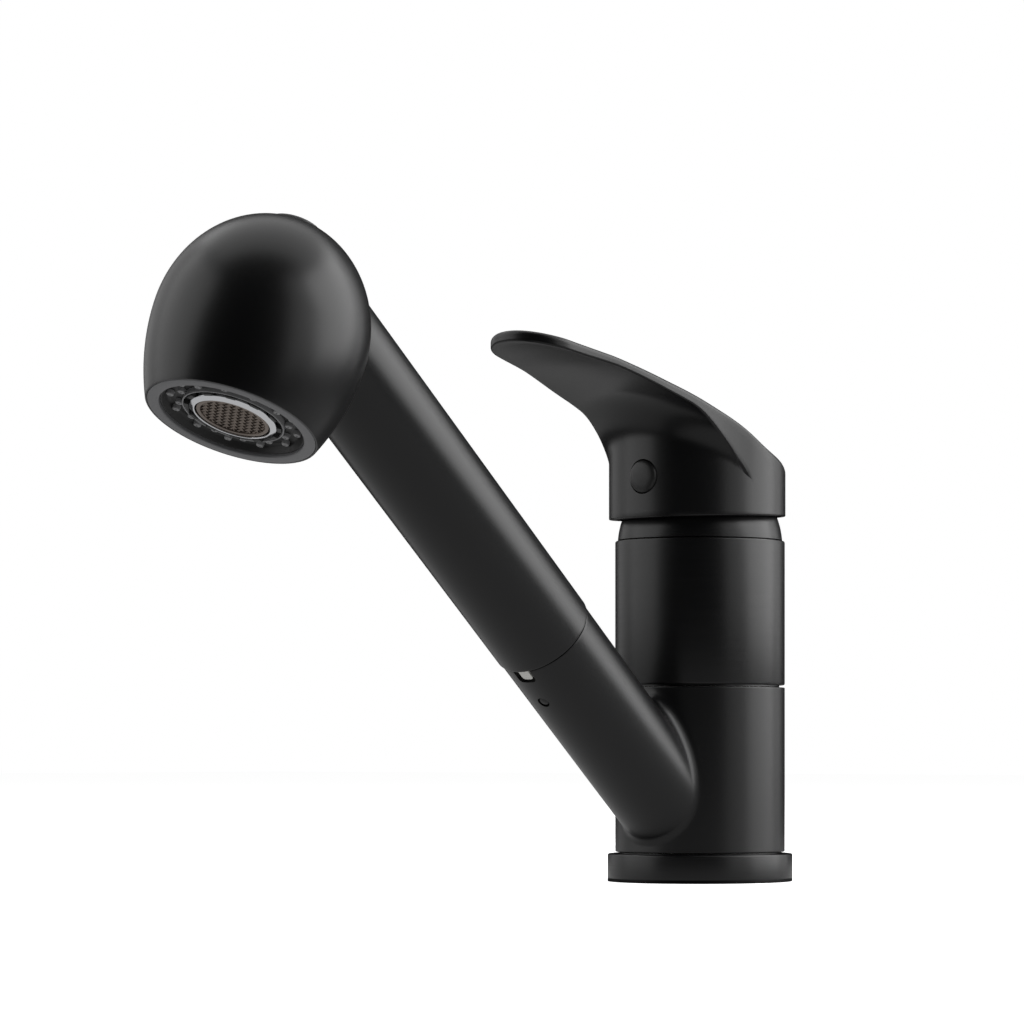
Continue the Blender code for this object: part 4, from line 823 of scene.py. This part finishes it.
def foot_of(outline):
    """The hub's place under each column: the outline's own, or one of those spread over the front."""
    x, forward = outline.T
    on_hub = forward <= BLADE_START
    share = np.abs(np.arange(len(x)) - len(x) / 2)
    share = 1 - share / share[~on_hub].max()
    turn = np.where(on_hub, 0, BLADE_TURN + (np.pi / 2 - BLADE_TURN) * share)
    front = hub_circle(turn)
    front[:, 0] *= np.sign(x)
    return np.where(on_hub[:, None], outline, front)


def cavity_rows(foot, rim):
    """The cavity's flat ceiling, and the sphere about the pivot down to the rim."""
    turn = np.arctan2(foot[:, 1], foot[:, 0])
    ball = DOME_RADIUS + CAVITY_GAP
    share = np.linspace(0, 1, 5)[:, None]
    ceiling = share * math.sqrt(ball**2 - CAVITY_RISE**2) * np.ones_like(turn)
    share = np.linspace(0, 1, 12)[1:, None]
    down = CAVITY_RISE + share * (rim - CAVITY_RISE)
    radius = np.concatenate([ceiling, np.sqrt(ball**2 - down**2)])
    heights = np.concatenate([CAVITY_RISE * np.ones_like(ceiling), down])
    return at(np.stack([radius * np.cos(turn), radius * np.sin(turn)], -1), heights)


def wall_rows(foot, rim):
    """Round the hub's lower rim and up its wall to the underside."""
    inner = foot + (foot - (0, HUB_FORWARD)) * (-RIM_ROUNDING / HUB_RADIUS)
    corner = arc_points(at(inner, rim), at(foot, rim), at(foot, rim + RIM_ROUNDING), 4)
    share = np.linspace(0, 1, 15)[1:-1, None]
    heights = rim + RIM_ROUNDING + share * (under_of(foot) - rim - RIM_ROUNDING)
    return np.concatenate([corner, at(np.broadcast_to(foot, (len(share), *foot.shape)), heights)])


def blade_rows(outline, foot, inward):
    """Out along the underside, over the edge, and across the top to the middle line."""
    low_edge = np.minimum(EDGE_LOW, 0.3 * np.linalg.norm(outline - foot, axis=1))
    share = np.linspace(0, 1, 34)[:, None, None] ** 2  # rows lie close together at the hub
    place = foot + share * (outline + inward * low_edge[:, None] - foot)
    underside = at(place, under_of(place))

    low, top = under_of(outline), top_of(outline)
    start, end = low + low_edge, top - EDGE_TOP
    lower = arc_points(underside[-1], at(outline, low), at(outline, start), 5)[1:]
    share = np.linspace(0, 1, 6)[1:-1, None]
    side = at(np.broadcast_to(outline, (len(share), *outline.shape)), start + share * (end - start))
    inner = outline + inward * EDGE_TOP
    upper = arc_points(at(outline, end), at(outline, top), at(inner, top_of(inner)), 7)

    forward = outline[:, 1]
    middle = np.stack([np.zeros_like(forward), np.clip(forward, RIDGE_START, RIDGE_END)], 1)
    share = np.linspace(0, 1, 26)[1:, None, None]
    place = inner + share * (middle - inner)
    return np.concatenate([underside, lower, side, upper, at(place, top_of(place))])


def lever_grid(outline):
    """All rows of the lever from the pole of its cavity, over the outside, to its middle line."""
    tangent = unit(np.roll(outline, -1, axis=0) - np.roll(outline, 1, axis=0))
    inward = np.stack([-tangent[:, 1], tangent[:, 0]], 1)
    foot = foot_of(outline)
    rim = rim_of(foot[:, 1])
    blade = blade_rows(outline, foot, inward)
    grid = np.concatenate([cavity_rows(foot, rim), wall_rows(foot, rim), blade])
    return np.stack([grid[..., 0], -grid[..., 1], PIVOT + grid[..., 2]], -1)


# %% [markdown]
# The plug closes the hole over the set screw. It sits in a bore in the hub's front and is slightly
# domed.

# %% Lever and its plug
PLUG_RADIUS, PLUG_RISE, PLUG_GAP, PLUG_BORE, PLUG_DEPTH = 4.8, 19.3, 0.25, 3.3, 3.0
LEVER_SHARP = 50
PLUG = axes_at((0, -(HUB_RADIUS + HUB_FORWARD), PIVOT + PLUG_RISE), FORWARD, (1.0, 0.0, 0.0))
lever_mesh = mesh_of("lever_casting", [(lever_grid(outline), True)], LEVER_SHARP)
plug_hole = cutter_of(PLUG, (PLUG_RADIUS + PLUG_GAP, -PLUG_BORE), (PLUG_RADIUS + PLUG_GAP, 3.0))
lever_mesh = cut_from("lever_casting", lever_mesh, plug_hole, sharp=LEVER_SHARP)
piece("lever_casting", lever_mesh, "lever", "matte_black", ["lever"])
plug = [(0, 1.0), (1.6, 0.95), (2.8, 0.85), (3.7, 0.68), (4.3, 0.42), (4.65, 0.05), (PLUG_RADIUS, -0.4)]
plug += [(PLUG_RADIUS, -PLUG_DEPTH), (0, -PLUG_DEPTH)]
turned("plug", PLUG, plug, "lever", "black_plastic", ["lever_plug"], columns=96)

# %% [markdown]
# ## Button on top of the spray head
# A turned cap that follows the head's dome and stands almost a millimetre proud of it.

# %% Button
BUTTON_RADIUS, BUTTON_PROUD = 7.7, 0.9


def dome_height(radius):
    """Height of the bell's elliptical top at a radius."""
    return WIDEST + (BELL_HEIGHT - WIDEST) * np.sqrt(1 - (radius / BELL_RADIUS) ** 2)


CAP_FLAT, SKIRT_TOP, FLANGE_LOW, BUTTON_LOW = 6.9, 53.6, 52.1, 51.6
SKIRT_RADIUS, BUTTON_STEM = 9.1, 6.3
radii = np.linspace(0, CAP_FLAT, 9)
cap = np.stack([radii, dome_height(radii) + BUTTON_PROUD], 1)
edge_height = dome_height(BUTTON_RADIUS) + BUTTON_PROUD - 0.15
shoulder = arc_points(cap[-1], np.array((BUTTON_RADIUS, edge_height + 0.12)),
                      np.array((BUTTON_RADIUS, edge_height - 0.9)), 7)
skirt = [(BUTTON_RADIUS, SKIRT_TOP), (SKIRT_RADIUS, SKIRT_TOP), (SKIRT_RADIUS, FLANGE_LOW)]
skirt += [(BUTTON_STEM, FLANGE_LOW), (BUTTON_STEM, BUTTON_LOW), (0, BUTTON_LOW)]
turned("button", HEAD, np.concatenate([cap, shoulder[1:], skirt]), "diverter", "black_plastic",
       ["diverter_button"])

# %% [markdown]
# ## Spray face
# Seen from below, from the outside in: a grey rim, a black dish with twenty-four silicone nozzles that
# the thumb can rub clean, a toothed ring for the aerator key, and a bright ring round a woven mesh. The
# nozzles stand in a zigzag on two circles. Heights run up into the head from the rim's face.

# %% Grey rim
RIM_OUT, RIM_IN, RIM_SHOULDER, RIM_STEP, RIM_BACK = 22.3, 19.2, 20.4, 1.8, 6.0
rim_profile = ring_of([
    (RIM_IN, RIM_BACK, 0),
    (RIM_IN, 0.0, 0.35),
    (RIM_OUT, 0.0, 0.25),
    (RIM_OUT, RIM_STEP, 0.1),
    (RIM_SHOULDER, RIM_STEP, 0),
    (RIM_SHOULDER, RIM_BACK, 0),
])
turned("spray_rim", HEAD, rim_profile, "spray", "grey_plastic", ["face_ring"])

# %% [markdown]
# The dish is a low bowl: from a flat floor its wall curves down to a narrow edge inside the rim.

# %% Black dish
DISH_IN, DISH_OUT, DISH_FLOOR, DISH_EDGE, DISH_BACK = 13.6, 19.1, 3.0, 0.9, 5.2
dish = ring_of([
    (DISH_IN, DISH_BACK, 0),
    (DISH_IN, DISH_FLOOR, 0.2),
    (17.6, DISH_FLOOR + 0.2, 1.2),
    (18.8, DISH_EDGE, 0.4),
    (DISH_OUT, DISH_EDGE, 0.1),
    (DISH_OUT, DISH_BACK, 0),
], 8)
turned("dish", HEAD, dish, "spray", "black_plastic", ["spray_faceplate"])

# %% [markdown]
# Each nozzle is a short peg with a hole in its tip. A thin collar and the sheet behind the dish belong
# to the same silicone moulding.

# %% Nozzles
NOZZLES, NOZZLE_TIP, NOZZLE_RADIUS, NOZZLE_HOLE, NOZZLE_BACK = 24, 1.9, 1.25, 0.24, 5.7
NOZZLE_CIRCLES = ((16.9, 17.0), (14.7, 2.0))  # radius, first angle
COLLAR_IN, COLLAR_OUT, COLLAR_LOW = 13.15, 13.55, 1.5
SHEET_OUT, SHEET_LOW, SHEET_TOP = 18.4, 5.6, 6.6
nozzle = rounded([
    (0.0, NOZZLE_TIP + 0.8, 0),
    (NOZZLE_HOLE, NOZZLE_TIP + 0.8, 0),
    (NOZZLE_HOLE + 0.04, NOZZLE_TIP, 0.05),
    (0.98, NOZZLE_TIP + 0.12, 0.3),
    (1.12, NOZZLE_TIP + 1.3, 0.2),
    (NOZZLE_RADIUS, NOZZLE_TIP + 2.0, 0),
    (NOZZLE_RADIUS, NOZZLE_BACK, 0),
    (0.0, NOZZLE_BACK, 0),
], 4)
origin, first, second, along = HEAD
grids = []
for k in range(NOZZLES):
    radius, start = NOZZLE_CIRCLES[k % 2]
    turn = math.radians(start + (k // 2) * 720 / NOZZLES)
    place = origin + radius * (math.cos(turn) * first + math.sin(turn) * second)
    grids.append((lathe((place, first, second, along), nozzle, columns=20), True))
silicone_collar = plain_ring(COLLAR_IN, COLLAR_OUT, COLLAR_LOW, NOZZLE_BACK, 0.15, 4)
sheet = [(COLLAR_IN, SHEET_LOW), (SHEET_OUT, SHEET_LOW), (SHEET_OUT, SHEET_TOP), (COLLAR_IN, SHEET_TOP)]
grids += [(lathe(HEAD, profile), True) for profile in (silicone_collar, closed(sheet))]
piece("nozzles", mesh_of("nozzles", grids), "spray", "grey_silicone", ["nozzle_membrane"])

# %% [markdown]
# The toothed ring is a lathe grid whose columns are moved: at the angles of a gap its low rows rise,
# by the tooth's height at the face and by less further in, so that the back stays flat.

# %% Toothed ring
KEYS, TOOTH_HEIGHT, TOOTH_ROOT, TOOTH_RUN = 12, 1.1, 3.0, 1.7
KEY_IN, KEY_OUT, KEY_LOW, KEY_BACK = 11.75, 13.0, 1.2, 6.0
tooth = np.array((0.06, 0.12, 0.44, 0.5, 0.56, 0.94, 1.0)) / KEYS
angles = (np.arange(KEYS)[:, None] / KEYS + tooth[None]).ravel() * 2 * np.pi
lift = np.tile((1.0, 0.0, 0.0, 0.0, 1.0, 1.0, 1.0), KEYS) * TOOTH_HEIGHT
ring = plain_ring(KEY_IN, KEY_OUT, KEY_LOW, KEY_BACK, 0.2, 4)
raised = np.clip((TOOTH_ROOT - ring[:, 1]) / TOOTH_RUN, 0, 1)[:, None] * lift[None]
grid = lathe(HEAD, ring, angles) + raised[..., None] * HEAD[3]
piece("key_ring", mesh_of("key_ring", [(grid, True)]), "spray", "black_plastic", ["aerator_key_ring"])

# %% [markdown]
# The bright ring's face is a shallow cone that rises outwards.

# %% Bright ring
BRIGHT_IN, BRIGHT_OUT, BRIGHT_LOW, BRIGHT_BACK = 10.0, 11.6, 0.8, 4.3
bright = ring_of([
    (BRIGHT_IN, BRIGHT_BACK, 0),
    (BRIGHT_IN, BRIGHT_LOW, 0.25),
    (10.3, 0.75, 0.3),
    (BRIGHT_OUT, 1.5, 0.25),
    (BRIGHT_OUT, BRIGHT_BACK, 0.1),
], 6)
turned("bright_ring", HEAD, bright, "spray", "chrome", ["aerator_ring"])

# %% [markdown]
# The mesh is woven from stainless wire. Each wire is a thin tube that goes over one crossing wire and
# under the next, so its height is a cosine with half the pitch between two crossings.

# %% Woven mesh
MESH_PITCH, WIRE, MESH_RADIUS, MESH_HEIGHT, WIRE_SIDES = 1.4, 0.33, 9.0, 2.0, 7
RIM_WIRE_IN, RIM_WIRE_OUT, RIM_WIRE_LOW, RIM_WIRE_BACK = 8.6, 9.65, 1.1, 2.6


def wires(axes, first_way):
    """Tubes along one direction, spaced by the pitch and cut to the disc's chord.

    The tube's centre lies at height H + a cos(pi u / pitch + k pi), u along it, k its number.
    """
    origin, first, second, along = axes
    ahead, across = (first, second) if first_way else (second, first)
    grids = []
    count = int(MESH_RADIUS / MESH_PITCH)
    for k in range(-count, count + 1):
        offset = k * MESH_PITCH
        chord = math.sqrt(MESH_RADIUS**2 - offset**2)
        u = np.linspace(-chord, chord, max(int(chord * 6), 8))[:, None]
        phase = math.pi * (k + (0 if first_way else 1))
        height = MESH_HEIGHT + WIRE * np.cos(np.pi * u / MESH_PITCH + phase)
        turn = even_angles(WIRE_SIDES)
        side, rise = WIRE * np.cos(turn)[None], WIRE * np.sin(turn)[None]
        tube = origin + u[..., None] * ahead + (offset + side)[..., None] * across
        tube = tube + (height + rise)[..., None] * along
        caps = [end.mean(1, keepdims=True).repeat(WIRE_SIDES, 1) for end in (tube[:1], tube[-1:])]
        grids.append((np.concatenate([caps[0], tube, caps[1]]), True))
    return grids


rim_wire = plain_ring(RIM_WIRE_IN, RIM_WIRE_OUT, RIM_WIRE_LOW, RIM_WIRE_BACK, 0.2, 5, 0.1)
grids = wires(HEAD, True) + wires(HEAD, False) + [(lathe(HEAD, rim_wire), True)]
piece("mesh_disc", mesh_of("mesh_disc", grids), "spray", "mesh_wire", ["aerator_mesh"])

# %% [markdown]
# ## Worktop, light and camera
# The tap stands on a pale worktop in an evenly white room. The worktop glows by itself, since the dim
# room wouldn't light it to white, and only the camera sees it, so it casts nothing on the tap.

# %% Worktop
FLOOR_HALF, FLOOR_GLOW = 4.0, 0.97
floor_corners = [(x * FLOOR_HALF, y * FLOOR_HALF, 0) for x, y in ((-1, -1), (1, -1), (1, 1), (-1, 1))]
floor = bpy.data.meshes.new("worktop")
floor.from_pydata(floor_corners, [], [(0, 1, 2, 3)])
worktop = object_of("worktop", floor)
glow = {"Emission_Color": (1, 1, 1, 1), "Emission_Strength": FLOOR_GLOW}
finish("worktop_white", "#f2f2f2", "#f6f6f6", (0.5, 0.6), 4.0, 0.01, IOR=1.45, **glow)
floor.materials.append(MATERIALS["worktop_white"])
worktop.visible_diffuse = worktop.visible_glossy = False

# %% [markdown]
# Large soft boxes stand to the left and right of the tap, the right one brighter, and the front stays
# dark. That gives a black cylinder its two soft highlights with a dark line between them. Narrower
# boxes carry each highlight on towards the front and the back, one above lights the lever, and a card
# on the worktop lights what faces down.

# %% Lights
AZIMUTH, LIGHT_DISTANCE = 37.5, 1.2
AIM = Vector((0.0, -0.08, 0.09))


def direction(turn, lift):
    """A unit vector at an angle to the right of the camera's direction and an angle above level."""
    angle, lift = math.radians(AZIMUTH + turn), math.radians(lift)
    return Vector((math.cos(lift) * math.sin(angle), -math.cos(lift) * math.cos(angle), math.sin(lift)))


def lamp_of(name, light, place, rotation):
    """An area light in the scene that the camera doesn't see."""
    lamp = object_of(name, light)
    lamp.location, lamp.rotation_euler = place, rotation
    lamp.visible_camera = False
    print(f"{name}: {light.size:.2f} m wide, {light.energy:.1f} W")


def soft_box(name, turn, lift, wide, tall, brightness):
    """A rectangular light that fills wide by tall degrees as seen from the tap.

    A surface with brightness 1 in every direction sends out pi watts for each square metre.
    """
    light = bpy.data.lights.new(name, "AREA")
    light.shape = "RECTANGLE"
    light.size = 2 * LIGHT_DISTANCE * math.tan(math.radians(wide / 2))
    light.size_y = 2 * LIGHT_DISTANCE * math.tan(math.radians(tall / 2))
    light.energy = brightness * math.pi * light.size * light.size_y
    place = AIM + LIGHT_DISTANCE * direction(turn, lift)
    lamp_of(name, light, place, (AIM - place).to_track_quat("-Z", "Y").to_euler())


for name, turn, wide, brightness in (
    ("right_box", 94, 52, 3.9),
    ("right_front", 53, 30, 1.1),
    ("right_back", 130, 20, 1.2),
    ("left_box", -86, 54, 1.5),
    ("left_back", -132, 36, 0.7),
):
    soft_box(name, turn, 24, wide, 56, brightness)
soft_box("top_box", 180, 75, 70, 60, 1.2)

CARD_WIDTH, CARD_BRIGHTNESS, CARD_PLACE = 0.7, 0.5, (0, -0.1, 0.001)
card = bpy.data.lights.new("bounce_card", "AREA")
card.shape, card.size = "DISK", CARD_WIDTH
card.energy = CARD_BRIGHTNESS * math.pi * math.pi * (card.size / 2) ** 2
lamp_of("bounce_card", card, CARD_PLACE, (math.pi, 0, 0))

# %% [markdown]
# The camera sees a white room, while every other ray meets a very dim one, so that the black stays
# black between the boxes.

# %% Room
ROOM_DIM, ROOM_SEEN = 0.015, 1.0
world = bpy.data.worlds.new("room")
bpy.context.scene.world = world
world.use_nodes = True
tree = world.node_tree
tree.nodes.clear()
path = add(tree, "ShaderNodeLightPath")
dim = add(tree, "ShaderNodeBackground", {"Color": (1, 1, 1, 1), "Strength": ROOM_DIM})
white = add(tree, "ShaderNodeBackground", {"Color": (1, 1, 1, 1), "Strength": ROOM_SEEN})
room_inputs = {0: path.outputs["Is Camera Ray"], 1: dim.outputs[0], 2: white.outputs[0]}
room = add(tree, "ShaderNodeMixShader", room_inputs)
add(tree, "ShaderNodeOutputWorld", {"Surface": room.outputs[0]})

# %% [markdown]
# The camera looks level, from just above the worktop and a good metre away. Its lens is shifted
# instead of tilted, which keeps upright lines upright.

# %% Camera
CAMERA_DISTANCE, CAMERA_HEIGHT = 1.15, 0.03893
lens = bpy.data.cameras.new("camera")
lens.lens, lens.sensor_width = 137.07, 36.0
lens.shift_x, lens.shift_y = -0.1836, 0.2314
lens.clip_start = 0.05
camera = object_of("camera", lens)
camera.location = CAMERA_DISTANCE * direction(0, 0) + Vector((0, 0, CAMERA_HEIGHT))
camera.rotation_euler = (math.pi / 2, 0, math.radians(AZIMUTH))
bpy.context.scene.camera = camera
bpy.context.scene.view_settings.view_transform = "Standard"
